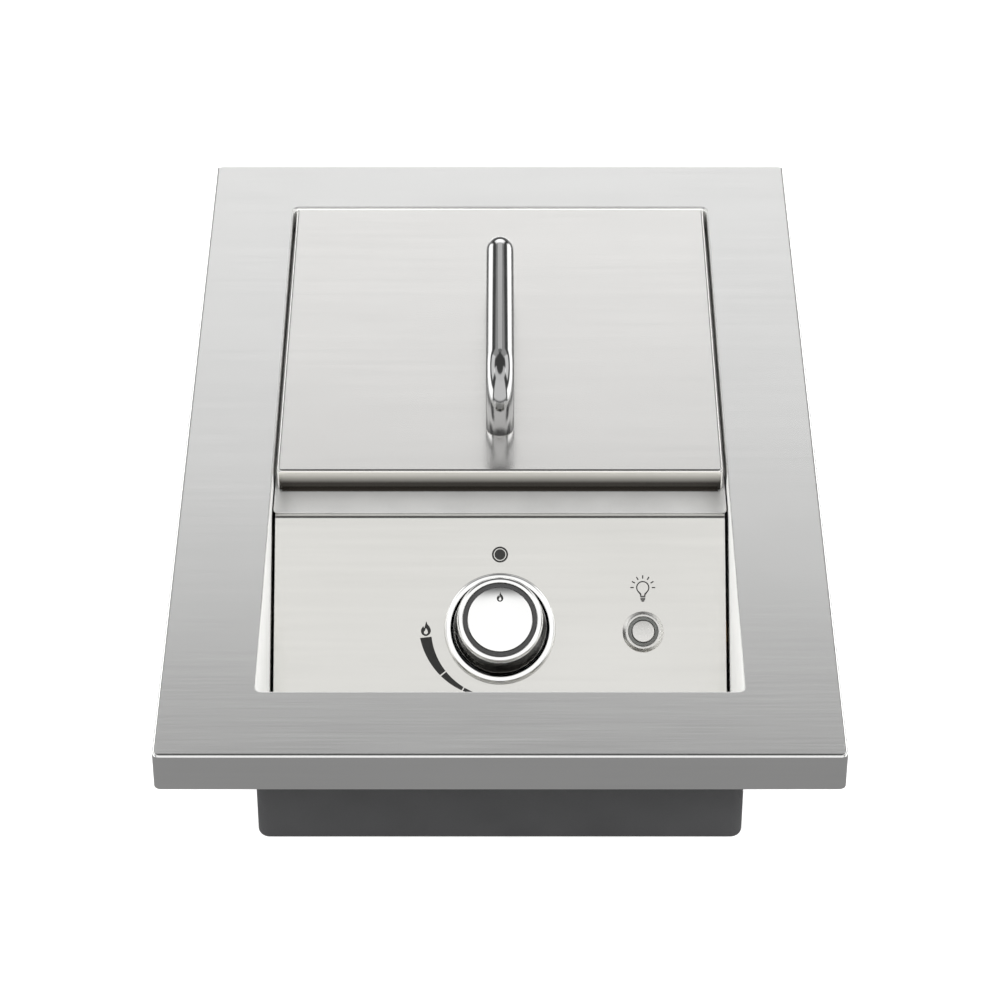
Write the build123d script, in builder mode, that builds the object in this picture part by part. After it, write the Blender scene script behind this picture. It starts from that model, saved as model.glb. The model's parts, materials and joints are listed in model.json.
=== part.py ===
"""Drop-in infrared burner: top frame, casing, fire tub, burner, valve, sloped panel and lift-off lid.

Millimetres. X runs left to right, Y front to back, Z up. The origin is on the casing's underside, under the
centre of the top frame.
"""

from build123d import *
from math import cos, radians, sin
import os

os.makedirs("parts", exist_ok=True)

# Top frame and its opening
frame_width = 375.0
frame_depth = 590.0
frame_height = 108.0
frame_sheet = 1.0
frame_skirt = 24.0
frame_return = 10.0
frame_corner = 4.0
frame_bend = 2.0
opening_width = 269.0
front_border = 53.5
rear_border = 51.0
opening_corner = 4.0
opening_bend = 0.8
collar_foot = 10.0
cut_overrun = 5.0
sheet_gap = 0.2
weld_gap = 0.02

# Outer casing
casing_sheet = 1.0
casing_flange = 14.0
casing_bend = 4.0
vent_width = 4.0
vent_length = 26.0
vent_pitch = 16.0
vent_drop = 26.0
rear_vents = 9
side_vents = 5
floor_vents = 7
casing_screw_drop = 24.0
casing_screw_pitch = 100.0
rail_screw_margin = 32.5
holddown_radius = 2.75
holddown_margin = 31.0
holddown_height = 60.0

# Lid and handle
lid_side_gap = 2.3
lid_rear_gap = 0.8
control_zone = 200.5
lid_sheet = 1.0
lid_corner = 3.0
lid_bend = 2.0
lid_seat_gap = 0.3
lid_hem = 1.8
handle_radius = 8.5
handle_height = 36.0
handle_bend = 20.0
handle_front_set = 43.3
handle_rear_set = 88.9
handle_tap_depth = 14.0

# Fire tub
firebox_sheet = 1.0
ledge_drop = 14.0
ledge_show = 21.6
ledge_side_gap = 1.0
tub_width = 232.0
tub_front_border = 47.6
tub_rear_border = 16.0
tub_corner = 13.0
grid_seat_drop = 16.0
grid_seat_width = 8.0
tub_floor_height = 9.0
tub_bend = 5.0
rail_sheet = 1.2
rail_foot = 14.3
rail_height = 20.8
rail_front_margin = 36.6
rail_rear_margin = 4.0
ledge_screw_inset = 7.5
ledge_screw_margin = 36.0

# Cooking grid
grid_clearance = 3.0
grid_frame_rod = 4.0
grid_rod = 3.5
grid_weld = 0.6
grid_rods = 13
grid_lift = 0.3

# Burner
tile_width = 92.0
burner_end_space = 32.3
tile_thickness = 13.0
tile_split = 2.0
gasket_thickness = 3.2
burner_sheet = 1.5
burner_drop = 7.0
tray_depth = 26.0
tile_seat_width = 7.0
plenum_width = 120.0
plenum_end_step = 9.7
burner_clearance = 4.0
burner_corner = 4.0
retainer_sheet = 1.0
retainer_lap = 6.0
retainer_skirt = 9.0
bracket_sheet = 1.5
bracket_foot = 19.8
bracket_height = 26.0
bracket_share = 0.57

# Venturi and air shutter
venturi_height = 30.0
venturi_barrel = 16.0
venturi_throat = 10.0
venturi_outlet = 13.0
venturi_wall = 1.2
venturi_mouth_set = 6.4
venturi_barrel_length = 29.0
venturi_throat_run = 16.0
venturi_reach = 14.0
venturi_joint_radius = 5.0
venturi_mouth = 5.5
air_window = 5.5
air_windows = 3
air_window_set = 19.0
air_turn = 40.0
shutter_fit = 0.08
shutter_wall = 1.2
shutter_length = 24.0
shutter_set = 2.5
shutter_ear_width = 12.0
shutter_ear_height = 7.0
shutter_slot_width = 4.6
shutter_slot_set = 7.0
slot_side_angle = 9.0

# Heat shield
shield_sheet = 0.8
shield_set = 7.0
shield_width = 200.0
shield_foot = 20.8
shield_hole_margin = 2.0

# Sloping control panel
panel_sheet = 1.2
panel_slope = 41.8
panel_lap = 2.8
panel_tuck = 37.4
panel_bend = 2.4
well_floor = 14.0
well_bend = 1.5
well_front_gap = 0.5
well_upstand = 26.0
panel_flange = 12.0
panel_flange_start = 8.0
panel_screw_set = 8.0
panel_screw_pitch = 80.0
upstand_screw_height = 16.0
drain_radius = 3.0

# Knob and its bezel
knob_down = 66.8
bezel_radius = 32.5
bezel_inner = 28.3
bezel_rim = 5.0
bezel_floor = 0.9
light_ring_radius = 31.6
light_ring_height = 1.0
knob_rim_radius = 24.85
knob_waist_radius = 22.5
knob_foot_radius = 27.0
knob_face = 36.0
knob_foot = 7.0
knob_waist = 21.0
knob_edge = 1.2
knob_wall = 2.5
knob_hub = 8.0
knob_recess = 21.5
knob_recess_depth = 3.0
knob_ring_inner = 18.75
knob_ring_drop = 0.8
knob_cap_radius = 18.65
knob_cap_rise = 0.3
part_fit = 0.1
push_travel = 3.2

# Valve, along the knob's axis behind the panel
spindle_radius = 4.0
spindle_top = 26.0
spindle_fit = 0.1
blade_width = 2.6
blade_clearance = 1.0
neck_radius = 7.0
neck_top = 5.3
neck_hole_gap = 0.3
bonnet_sheet = 3.0
bonnet_depth = 9.0
ear_width = 44.0
ear_height = 24.0
ear_corner = 9.0
ear_thickness = 4.0
ear_screw_pitch = 32.0
valve_radius = 12.0
valve_depth = 46.0
plug_top_radius = 7.2
plug_foot_radius = 5.6
plug_top = 17.0
plug_foot = 41.0
plug_fit = 0.06
plug_slot = 8.0
plug_port = 2.5
collar_seat = 13.0
collar_thickness = 2.0
collar_radius = 7.4
spring_wire = 0.4
spring_turns = 3.0
valve_nut_flats = 18.0
valve_nut_height = 3.0
outlet_radius = 6.5
outlet_reach = 5.7
injector_flats = 11.0
injector_hex = 5.0
injector_tip = 3.5
injector_reach = 6.0
injector_jet = 0.8
injector_entry = 5.0

# Gas supply
manifold_depth = 36.0
manifold_radius = 6.0
manifold_wall = 1.2
manifold_boss = 8.5
manifold_boss_reach = 22.0
manifold_socket = 8.0
fitting_thread = 8.5
fitting_flats = 20.0
fitting_hex = 8.0
flare_radius = 7.94
flare_length = 14.0
flare_nose = 3.0
flare_tip = 5.6
fitting_bore = 4.6
fitting_inside = 12.5
locknut_flats = 22.0
locknut_height = 6.0

# Lighted push switch
switch_right = 83.7
switch_down = 68.4
switch_flange = 12.0
switch_rise = 2.4
switch_barrel_radius = 9.4
switch_barrel_length = 17.0
switch_bore = 8.8
switch_bore_depth = 4.0
switch_ring_inner = 6.8
switch_ring_height = 2.2
switch_ring_seat = 0.2
switch_button_radius = 6.45
switch_button_rise = 2.7
switch_button_depth = 1.0
switch_stem = 3.5
switch_stem_depth = 12.0
switch_nut_flats = 22.0
switch_nut_height = 3.0
switch_base_radius = 8.9
switch_base_height = 5.0

# Electrics and ignition
socket_radius = 6.0
socket_flange = 8.5
socket_lip = 2.0
socket_inside = 13.0
socket_pin = 2.0
socket_nut_flats = 17.0
socket_nut_height = 3.0
socket_set = 2.6
socket_z = 45.0
lead_radius = 1.2
spark_lead_radius = 1.4
arc_share = 0.45
electrode_x = -60.0
electrode_set = 10.0
insulator_radius = 3.5
insulator_collar = 5.0
insulator_collar_height = 3.0
insulator_drop = 1.0
insulator_length = 27.0
spark_wire = 1.0
spark_rise = 5.5
spark_reach = 24.0
electrode_sheet = 1.2
electrode_plate_set = 5.0
electrode_plate_width = 18.0
electrode_leg = 11.0
electrode_screw_rise = 5.0
module_width = 56.0
module_depth = 32.0
module_height = 18.0
module_corner = 3.0
module_ear = 8.0
module_ear_sheet = 2.0
module_set = 4.6
terminal_radius = 3.2
terminal_height = 3.0
spark_lead_drop = 10.0

# Fasteners
screw_shank = 1.9
screw_head = 3.5
screw_head_height = 2.2
screw_round = 0.8
screw_clearance = 0.25
screw_length = 5.0
handle_screw_shank = 2.5
handle_screw_head = 4.5
handle_screw_head_height = 2.5
handle_screw_length = 10.5
washer_radius = 7.0
washer_height = 1.0
thread_gap = 0.1

# Levels and edges that follow from the sizes above
frame_bottom = frame_height - frame_skirt
opening_front = front_border - frame_depth / 2
opening_rear = frame_depth / 2 - rear_border
opening_depth = opening_rear - opening_front
opening_middle = (opening_front + opening_rear) / 2
collar_width = opening_width + 2 * frame_sheet
collar_length = opening_depth + 2 * frame_sheet
collar_corner = opening_corner + frame_sheet
casing_width = collar_width + 2 * sheet_gap + 2 * casing_sheet
casing_depth = collar_length + 2 * sheet_gap + 2 * casing_sheet
casing_corner = collar_corner + sheet_gap + casing_sheet
casing_top = frame_height - frame_sheet - sheet_gap
wall_outer = casing_width / 2
wall_inner = opening_width / 2
firebox_top = frame_height - ledge_drop
lid_width = opening_width - 2 * lid_side_gap
lid_rear = opening_rear - lid_rear_gap
lid_front = opening_front + control_zone
lid_depth = lid_rear - lid_front
handle_front = lid_front + handle_front_set
handle_span = lid_rear - handle_rear_set - handle_front
lid_bottom = firebox_top + lid_seat_gap
ledge_front = lid_front - ledge_show
ledge_rear = opening_rear - ledge_side_gap
ledge_width = opening_width - 2 * ledge_side_gap
ledge_under = firebox_top - firebox_sheet
tub_rear = ledge_rear - tub_rear_border
tub_front = ledge_front + tub_front_border
tub_depth = tub_rear - tub_front
tub_middle = (tub_front + tub_rear) / 2
grid_seat = firebox_top - grid_seat_drop + firebox_sheet
burner_top = grid_seat - burner_drop
lower_width = tub_width - 2 * grid_seat_width
lower_depth = tub_depth - 2 * grid_seat_width
lower_front = tub_front + grid_seat_width
body_length = lower_depth - 2 * firebox_sheet - 2 * burner_end_space
tile_length = body_length - 2 * (gasket_thickness + burner_sheet)
plenum_length = body_length - 2 * plenum_end_step
bracket_length = plenum_length * bracket_share
tub_floor_top = tub_floor_height + firebox_sheet
rail_outer = wall_inner - sheet_gap
rail_top = ledge_under - sheet_gap
rail_front = ledge_front + rail_front_margin
rail_rear = ledge_rear - rail_rear_margin
rail_middle = (rail_front + rail_rear) / 2
rail_screw_reach = (rail_rear - rail_front) / 2 - rail_screw_margin
holddown_reach = tub_depth / 2 - holddown_margin
ledge_screw_reach = tub_depth / 2 - ledge_screw_margin
insulator_top = burner_top - insulator_drop
insulator_foot = insulator_top - insulator_length
spark_height = burner_top + spark_rise
electrode_plate_height = insulator_foot + electrode_plate_set
spark_lead_height = insulator_foot - spark_lead_drop
socket_y = ledge_front + socket_set
module_y = ledge_front + module_set
casing_screw_height = frame_height - casing_screw_drop
vent_height = casing_screw_height - vent_drop
ledge_screw_x = ledge_width / 2 - ledge_screw_inset
panel_width = lid_width
panel_top = ledge_under - sheet_gap
panel_corner = ledge_front - panel_lap
panel_fall = (panel_top - well_floor) / sin(radians(panel_slope))
panel_rear = panel_corner + panel_tuck
well_front = opening_front + well_front_gap + panel_sheet
slope_x, slope_z = cos(radians(panel_slope)), sin(radians(panel_slope))


def on_slope(down, height):
    """The (y, z) of a point that lies down the panel from its top bend and stands height off its face."""
    return (panel_corner - down * slope_x - height * slope_z, panel_top - down * slope_z + height * slope_x)


def panel_place(x, down, height=0.0):
    """The plane on the panel's face whose z axis points out of it and whose y axis points up the slope."""
    y, z = on_slope(down, height)
    return Plane(origin=(x, y, z), x_dir=(1, 0, 0), z_dir=(0, -slope_z, slope_x))


def facing(x, y, z, direction):
    """A plane at a point, looking along a direction that isn't straight up or down."""
    return Plane(origin=(x, y, z), x_dir=(0, 0, 1), z_dir=direction)


def rearward(x, y, z):
    """A plane at a point that looks to the back, with its x axis to the right."""
    return Plane(origin=(x, y, z), x_dir=(1, 0, 0), z_dir=(0, 1, 0))


def upright(x, y, z):
    """A level plane at a point."""
    return Plane(origin=(x, y, z))


def profile_plane(place):
    """The plane of a turned profile: its x is the radius and its y runs along the axis of the place."""
    return Plane(origin=place.origin, x_dir=place.x_dir, z_dir=-place.y_dir)


def turning_axis(place):
    """The line that a profile is turned about."""
    return Axis(place.origin, place.z_dir)


def pan_screws(places, length=screw_length, shank=screw_shank, head=screw_head, rise=screw_head_height):
    """A group of pan-head screws, each with its head on the place and its shank going into it."""
    with BuildPart() as group:
        for place in places:
            with BuildSketch(profile_plane(place)):
                with BuildLine():
                    crown = min(screw_round, rise)
                    Polyline((0, -length), (shank, -length), (shank, 0), (head, 0),
                             (head, rise - crown))
                    Line((head, rise - crown), (head - crown, rise))
                    Polyline((head - crown, rise), (0, rise), (0, -length))
                make_face()
            revolve(axis=turning_axis(place))
    return group.part


def hex_nut(place, flats, height, bore):
    """A hexagon nut that starts on the place and grows along its axis."""
    with BuildPart() as nut:
        with BuildSketch(place):
            RegularPolygon(radius=flats / 2, side_count=6, major_radius=False)
            Circle(bore, mode=Mode.SUBTRACT)
        extrude(amount=height)
    return nut.part


def tube_along(points, radius):
    """A round lead along straight runs, joined by arcs as large as the shorter run beside a corner allows."""
    steps = [Vector(*b) - Vector(*a) for a, b in zip(points, points[1:])]
    bends = []
    for before, after in zip(steps, steps[1:]):
        half_turn = radians(before.get_angle(after) / 2)
        bends.append(arc_share * min(before.length, after.length) * cos(half_turn) / sin(half_turn))
    with BuildPart() as tube:
        with BuildLine() as route:
            FilletPolyline(*points, radius=bends)
        with BuildSketch(Plane(origin=route.wire() @ 0, z_dir=route.wire() % 0)):
            Circle(radius)
        sweep(path=route.wire())
    return tube.part


def keep(part, name):
    """Name a finished piece and write it."""
    part.label = name
    export_step(part, "parts/" + name + ".step")


side_screw_y = [rail_middle + n * rail_screw_reach for n in (-1, 0, 1)]
side_screws = [facing(side * wall_outer, y, casing_screw_height, (side, 0, 0))
               for side in (-1, 1) for y in side_screw_y]
casing_rear = opening_middle + casing_depth / 2
rear_screws = [facing(side * casing_screw_pitch, casing_rear, casing_screw_height, (0, 1, 0))
               for side in (-1, 1)]
holddown_places = [facing(side * wall_outer, tub_middle + end * holddown_reach, holddown_height, (side, 0, 0))
                   for side in (-1, 1) for end in (-1, 1)]
ledge_screw_places = [upright(side * ledge_screw_x, tub_middle + end * ledge_screw_reach, firebox_top)
                      for side in (-1, 1) for end in (-1, 1)]
panel_screw_y = lid_front + panel_screw_set
panel_screw_places = [upright(n * panel_screw_pitch, panel_screw_y, firebox_top) for n in (-1, 0, 1)]
upstand_screw_z = well_floor + upstand_screw_height
upstand_screw_places = [facing(n * panel_screw_pitch, well_front, upstand_screw_z, (0, 1, 0))
                        for n in (-1, 0, 1)]

knob_place = panel_place(0, knob_down)
manifold_y, manifold_z = on_slope(knob_down, -manifold_depth)
manifold_place = facing(0, manifold_y, manifold_z, (1, 0, 0))

# Top frame: folded border round the opening, with a return flange under it
with BuildPart() as frame_hollow:
    with BuildSketch(Plane.XY.offset(frame_bottom)):
        RectangleRounded(frame_width - 2 * frame_sheet, frame_depth - 2 * frame_sheet,
                         frame_corner - frame_sheet)
    extrude(amount=frame_skirt - frame_sheet)
    fillet(frame_hollow.faces().sort_by(Axis.Z)[-1].edges(), frame_bend - frame_sheet)

with BuildPart() as top_frame:
    with BuildSketch(Plane.XY.offset(frame_bottom)):
        RectangleRounded(frame_width, frame_depth, frame_corner)
    extrude(amount=frame_skirt)
    fillet(top_frame.faces().sort_by(Axis.Z)[-1].edges(), frame_bend)
    add(frame_hollow.part, mode=Mode.SUBTRACT)
    with BuildSketch(Plane.XY.offset(frame_bottom)):
        RectangleRounded(frame_width, frame_depth, frame_corner)
        RectangleRounded(frame_width - 2 * frame_return, frame_depth - 2 * frame_return, frame_corner,
                         mode=Mode.SUBTRACT)
    extrude(amount=frame_sheet)
    with BuildSketch(Plane.XY.offset(frame_height)):
        with Locations((0, opening_middle)):
            RectangleRounded(opening_width, opening_depth, opening_corner)
    extrude(amount=-frame_sheet, mode=Mode.SUBTRACT)
    mouth = top_frame.edges().filter_by_position(Axis.Z, frame_height, frame_height).filter_by_position(
        Axis.X, -collar_width / 2, collar_width / 2).filter_by_position(
        Axis.Y, opening_front - frame_sheet, opening_rear + frame_sheet)
    fillet(mouth, opening_bend)
keep(top_frame.part, "top_frame")

# Collar: the deep liner welded under the opening's edge, which the casing is screwed to
collar_top = frame_height - frame_sheet - weld_gap
with BuildPart() as frame_collar:
    with BuildSketch(Plane.XY.offset(collar_top)):
        with Locations((0, opening_middle)):
            RectangleRounded(collar_width, collar_length, collar_corner)
            RectangleRounded(opening_width, opening_depth, opening_corner, mode=Mode.SUBTRACT)
    extrude(amount=collar_foot - collar_top)
    for place in side_screws + rear_screws:
        with BuildSketch(place):
            Circle(screw_shank + screw_clearance)
        extrude(amount=-cut_overrun, mode=Mode.SUBTRACT)
    for place in holddown_places:
        with BuildSketch(place):
            Circle(holddown_radius)
        extrude(amount=-cut_overrun, mode=Mode.SUBTRACT)
    for place in upstand_screw_places:
        with BuildSketch(place):
            Circle(screw_shank + screw_clearance)
        extrude(amount=-cut_overrun, mode=Mode.SUBTRACT)
    with BuildSketch(manifold_place.offset(wall_inner - sheet_gap)):
        Circle(fitting_thread + sheet_gap)
    extrude(amount=cut_overrun, mode=Mode.SUBTRACT)
    with BuildSketch(facing(wall_inner - sheet_gap, socket_y, socket_z, (1, 0, 0))):
        Circle(socket_radius + sheet_gap)
    extrude(amount=cut_overrun, mode=Mode.SUBTRACT)
keep(frame_collar.part, "frame_collar")

# Outer casing: a deep folded box with a flange under the frame, vented at the back, sides and floor
with BuildPart() as outer_casing:
    with BuildSketch(Plane.XY):
        with Locations((0, opening_middle)):
            RectangleRounded(casing_width, casing_depth, casing_corner)
    extrude(amount=casing_top)
    fillet(outer_casing.faces().sort_by(Axis.Z)[0].edges(), casing_bend)
    offset(amount=-casing_sheet, openings=outer_casing.faces().sort_by(Axis.Z)[-1])
    with BuildSketch(Plane.XY.offset(casing_top)):
        with Locations((0, opening_middle)):
            RectangleRounded(casing_width + 2 * casing_flange, casing_depth + 2 * casing_flange,
                             casing_corner + casing_flange)
            RectangleRounded(casing_width - 2 * casing_sheet, casing_depth - 2 * casing_sheet,
                             casing_corner - casing_sheet, mode=Mode.SUBTRACT)
    extrude(amount=-casing_sheet)
    for place in side_screws + rear_screws:
        with BuildSketch(place):
            Circle(screw_shank + screw_clearance)
        extrude(amount=-cut_overrun, mode=Mode.SUBTRACT)
    for place in holddown_places:
        with BuildSketch(place):
            Circle(holddown_radius)
        extrude(amount=-cut_overrun, mode=Mode.SUBTRACT)
    with BuildSketch(manifold_place.offset(wall_inner)):
        Circle(fitting_thread + sheet_gap)
    extrude(amount=cut_overrun, mode=Mode.SUBTRACT)
    with BuildSketch(facing(wall_inner, socket_y, socket_z, (1, 0, 0))):
        Circle(socket_radius + sheet_gap)
    extrude(amount=cut_overrun, mode=Mode.SUBTRACT)
    with BuildSketch(Plane.XZ.offset(-opening_rear)):
        with Locations((0, vent_height)):
            with GridLocations(vent_pitch, 0, rear_vents, 1):
                SlotOverall(vent_length, vent_width, rotation=90)
    extrude(amount=-cut_overrun, mode=Mode.SUBTRACT)
    for side in (-1, 1):
        with BuildSketch(Plane(origin=(side * wall_inner, tub_middle, vent_height), x_dir=(0, 1, 0),
                               z_dir=(side, 0, 0))):
            with GridLocations(vent_pitch, 0, side_vents, 1):
                SlotOverall(vent_length, vent_width, rotation=90)
        extrude(amount=cut_overrun, mode=Mode.SUBTRACT)
    with BuildSketch(Plane.XY):
        with Locations((0, tub_middle)):
            with GridLocations(vent_pitch, 0, floor_vents, 1):
                SlotOverall(vent_length, vent_width, rotation=90)
    extrude(amount=cut_overrun, mode=Mode.SUBTRACT)
keep(outer_casing.part, "outer_casing")

keep(pan_screws(side_screws + rear_screws), "casing_screws")

# Rails on the collar's sides that carry the fire tub's flange
for side, name in ((-1, "support_rail_left"), (1, "support_rail_right")):
    with BuildPart() as rail:
        with BuildSketch(Plane.XZ.offset(-rail_front)):
            with BuildLine():
                Polyline((side * rail_outer, rail_top), (side * (rail_outer - rail_foot), rail_top),
                         (side * (rail_outer - rail_foot), rail_top - rail_sheet),
                         (side * (rail_outer - rail_sheet), rail_top - rail_sheet),
                         (side * (rail_outer - rail_sheet), rail_top - rail_height),
                         (side * rail_outer, rail_top - rail_height), close=True)
            make_face()
        extrude(amount=rail_front - rail_rear)
        for place in [p for p in side_screws if p.origin.X * side > 0]:
            with BuildSketch(place):
                Circle(screw_shank + screw_clearance)
            extrude(amount=-2 * cut_overrun, mode=Mode.SUBTRACT)
        for place in ledge_screw_places:
            with BuildSketch(place):
                Circle(screw_shank + screw_clearance)
            extrude(amount=-cut_overrun, mode=Mode.SUBTRACT)
    keep(rail.part, name)

venturi_front = panel_corner + panel_lap - venturi_mouth_set
venturi_place = rearward(0, venturi_front, venturi_height)
plenum_front = tub_middle - plenum_length / 2
electrode_y = tub_middle - tile_length / 2 - gasket_thickness - burner_sheet - sheet_gap - electrode_set

# Fire tub: flange with the front ledge, a step that seats the grid, and a deep floor pan
with BuildPart() as firebox:
    with BuildSketch(Plane.XY.offset(tub_floor_height)):
        with Locations((0, tub_middle)):
            RectangleRounded(lower_width, lower_depth, tub_corner)
    extrude(amount=grid_seat - firebox_sheet - tub_floor_height)
    fillet(firebox.faces().sort_by(Axis.Z)[0].edges(), tub_bend)
    with BuildSketch(Plane.XY.offset(grid_seat - firebox_sheet)):
        with Locations((0, tub_middle)):
            RectangleRounded(tub_width, tub_depth, tub_corner)
    extrude(amount=firebox_top - grid_seat + firebox_sheet)
    offset(amount=-firebox_sheet, openings=firebox.faces().sort_by(Axis.Z)[-1], kind=Kind.INTERSECTION)
    with BuildSketch(Plane.XY.offset(ledge_under)):
        with Locations((0, (ledge_front + ledge_rear) / 2)):
            RectangleRounded(ledge_width, ledge_rear - ledge_front, opening_corner - ledge_side_gap)
        with Locations((0, tub_middle)):
            RectangleRounded(tub_width - 2 * firebox_sheet, tub_depth - 2 * firebox_sheet,
                             tub_corner - firebox_sheet, mode=Mode.SUBTRACT)
    extrude(amount=firebox_sheet)
    for place in ledge_screw_places + panel_screw_places:
        with BuildSketch(place):
            Circle(screw_shank + screw_clearance)
        extrude(amount=-cut_overrun, mode=Mode.SUBTRACT)
    with BuildSketch(rearward(0, lower_front, venturi_height)):
        Circle(venturi_outlet + venturi_wall)
    extrude(amount=cut_overrun, both=True, mode=Mode.SUBTRACT)
    with BuildSketch(rearward(electrode_x, lower_front, spark_lead_height)):
        Circle(spark_lead_radius + firebox_sheet)
    extrude(amount=cut_overrun, both=True, mode=Mode.SUBTRACT)
    bracket_x = plenum_width / 2 + sheet_gap + bracket_foot - bracket_foot / 3
    foot_screw_places = [upright(side * bracket_x, tub_middle + end * bracket_length / 3,
                                 tub_floor_top + sheet_gap + bracket_sheet)
                         for side in (-1, 1) for end in (-1, 1)]
    for place in foot_screw_places:
        with BuildSketch(place):
            Circle(screw_shank + screw_clearance)
        extrude(amount=-cut_overrun, mode=Mode.SUBTRACT)
keep(firebox.part, "firebox")

keep(pan_screws(ledge_screw_places), "firebox_screws")

# Cooking grid: a round-rod frame with straight rods welded across it
grid_width = tub_width - 2 * firebox_sheet - 2 * grid_clearance
grid_depth = tub_depth - 2 * firebox_sheet - 2 * grid_clearance
grid_frame_z = grid_seat + grid_lift + grid_frame_rod
grid_rod_z = grid_frame_z + grid_frame_rod + grid_rod - grid_weld
grid_rod_length = grid_depth - grid_frame_rod
grid_pitch = (grid_width - 2 * grid_frame_rod) / (grid_rods + 1)
with BuildPart() as cooking_grid:
    ring_x, ring_y = grid_width / 2 - grid_frame_rod, grid_depth / 2 - grid_frame_rod
    with BuildLine(Plane(origin=(0, tub_middle, grid_frame_z))) as grid_path:
        FilletPolyline((-ring_x, -ring_y), (ring_x, -ring_y), (ring_x, ring_y), (-ring_x, ring_y),
                       radius=tub_corner - firebox_sheet - grid_frame_rod / 2, close=True)
    with BuildSketch(Plane(origin=grid_path.wire() @ 0, z_dir=grid_path.wire() % 0)):
        Circle(grid_frame_rod)
    sweep(path=grid_path.wire())
    for n in range(grid_rods):
        rod_x = (n - (grid_rods - 1) / 2) * grid_pitch
        with BuildSketch(rearward(rod_x, tub_middle - grid_rod_length / 2, grid_rod_z)):
            Circle(grid_rod)
        extrude(amount=grid_rod_length)
keep(cooking_grid.part, "cooking_grid")

# Burner body: a tray for the tiles over a narrower mixing chamber
body_width = 2 * tile_width + tile_split + 2 * (gasket_thickness + burner_sheet)
tray_bottom = burner_top - tray_depth
plenum_bottom = tub_floor_top + burner_clearance
tile_bottom = burner_top - tile_thickness
leg_screw_height = tub_floor_top + 2 * bracket_height / 3
bracket_leg_x = plenum_width / 2 + sheet_gap + bracket_sheet
leg_screw_places = [facing(side * bracket_leg_x, tub_middle + end * bracket_length / 3, leg_screw_height,
                           (side, 0, 0)) for side in (-1, 1) for end in (-1, 1)]
electrode_wall = tub_middle - body_length / 2
electrode_screw_place = facing(electrode_x, electrode_wall - sheet_gap - electrode_sheet,
                               electrode_plate_height + electrode_screw_rise, (0, -1, 0))
with BuildPart() as burner_body:
    with BuildSketch(Plane.XY.offset(plenum_bottom)):
        with Locations((0, tub_middle)):
            RectangleRounded(plenum_width, plenum_length, burner_corner)
    extrude(amount=tray_bottom - plenum_bottom)
    with BuildSketch(Plane.XY.offset(tray_bottom)):
        with Locations((0, tub_middle)):
            RectangleRounded(body_width, body_length, burner_corner)
    extrude(amount=tray_depth)
    offset(amount=-burner_sheet, openings=burner_body.faces().sort_by(Axis.Z)[-1], kind=Kind.INTERSECTION)
    with BuildSketch(Plane.XY.offset(tile_bottom)):
        with Locations((0, tub_middle)):
            RectangleRounded(body_width, body_length, burner_corner)
            with GridLocations(tile_width + tile_split, 0, 2, 1):
                Rectangle(tile_width - 2 * tile_seat_width, tile_length - 2 * tile_seat_width,
                          mode=Mode.SUBTRACT)
    extrude(amount=-burner_sheet)
    with BuildSketch(rearward(0, plenum_front, venturi_height)):
        Circle(venturi_outlet + part_fit)
    extrude(amount=cut_overrun, both=True, mode=Mode.SUBTRACT)
    for place in leg_screw_places:
        with BuildSketch(place):
            Circle(screw_shank + thread_gap)
        extrude(amount=-cut_overrun, mode=Mode.SUBTRACT)
    with BuildSketch(electrode_screw_place):
        Circle(screw_shank + thread_gap)
    extrude(amount=-cut_overrun, mode=Mode.SUBTRACT)
keep(burner_body.part, "burner_body")

# Ceramic tiles, the fibre gasket round them, and the frame that holds them down
for side, name in ((-1, "burner_tile_left"), (1, "burner_tile_right")):
    with BuildPart() as tile:
        with BuildSketch(Plane.XY.offset(tile_bottom)):
            with Locations((side * (tile_width + tile_split) / 2, tub_middle)):
                Rectangle(tile_width, tile_length)
        extrude(amount=tile_thickness - sheet_gap)
    keep(tile.part, name)

with BuildPart() as tile_gasket:
    with BuildSketch(Plane.XY.offset(tile_bottom)):
        with Locations((0, tub_middle)):
            RectangleRounded(body_width - 2 * burner_sheet - 2 * sheet_gap,
                             body_length - 2 * burner_sheet - 2 * sheet_gap, burner_corner - burner_sheet)
            with GridLocations(tile_width + tile_split, 0, 2, 1):
                Rectangle(tile_width + sheet_gap, tile_length + sheet_gap, mode=Mode.SUBTRACT)
    extrude(amount=tile_thickness - sheet_gap)
keep(tile_gasket.part, "tile_gasket")

retainer_width = body_width + 2 * (retainer_sheet + sheet_gap)
retainer_length = body_length + 2 * (retainer_sheet + sheet_gap)
with BuildPart() as tile_frame:
    with BuildSketch(Plane.XY.offset(burner_top)):
        with Locations((0, tub_middle)):
            Rectangle(retainer_width, retainer_length)
            with GridLocations(tile_width + tile_split, 0, 2, 1):
                RectangleRounded(tile_width - 2 * retainer_lap, tile_length - 2 * retainer_lap, burner_corner,
                                 mode=Mode.SUBTRACT)
    extrude(amount=retainer_sheet)
    with BuildSketch(Plane.XY.offset(burner_top)):
        with Locations((0, tub_middle)):
            Rectangle(retainer_width, retainer_length)
            Rectangle(body_width + 2 * sheet_gap, body_length + 2 * sheet_gap, mode=Mode.SUBTRACT)
    extrude(amount=-retainer_skirt)
keep(tile_frame.part, "tile_frame")

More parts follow.
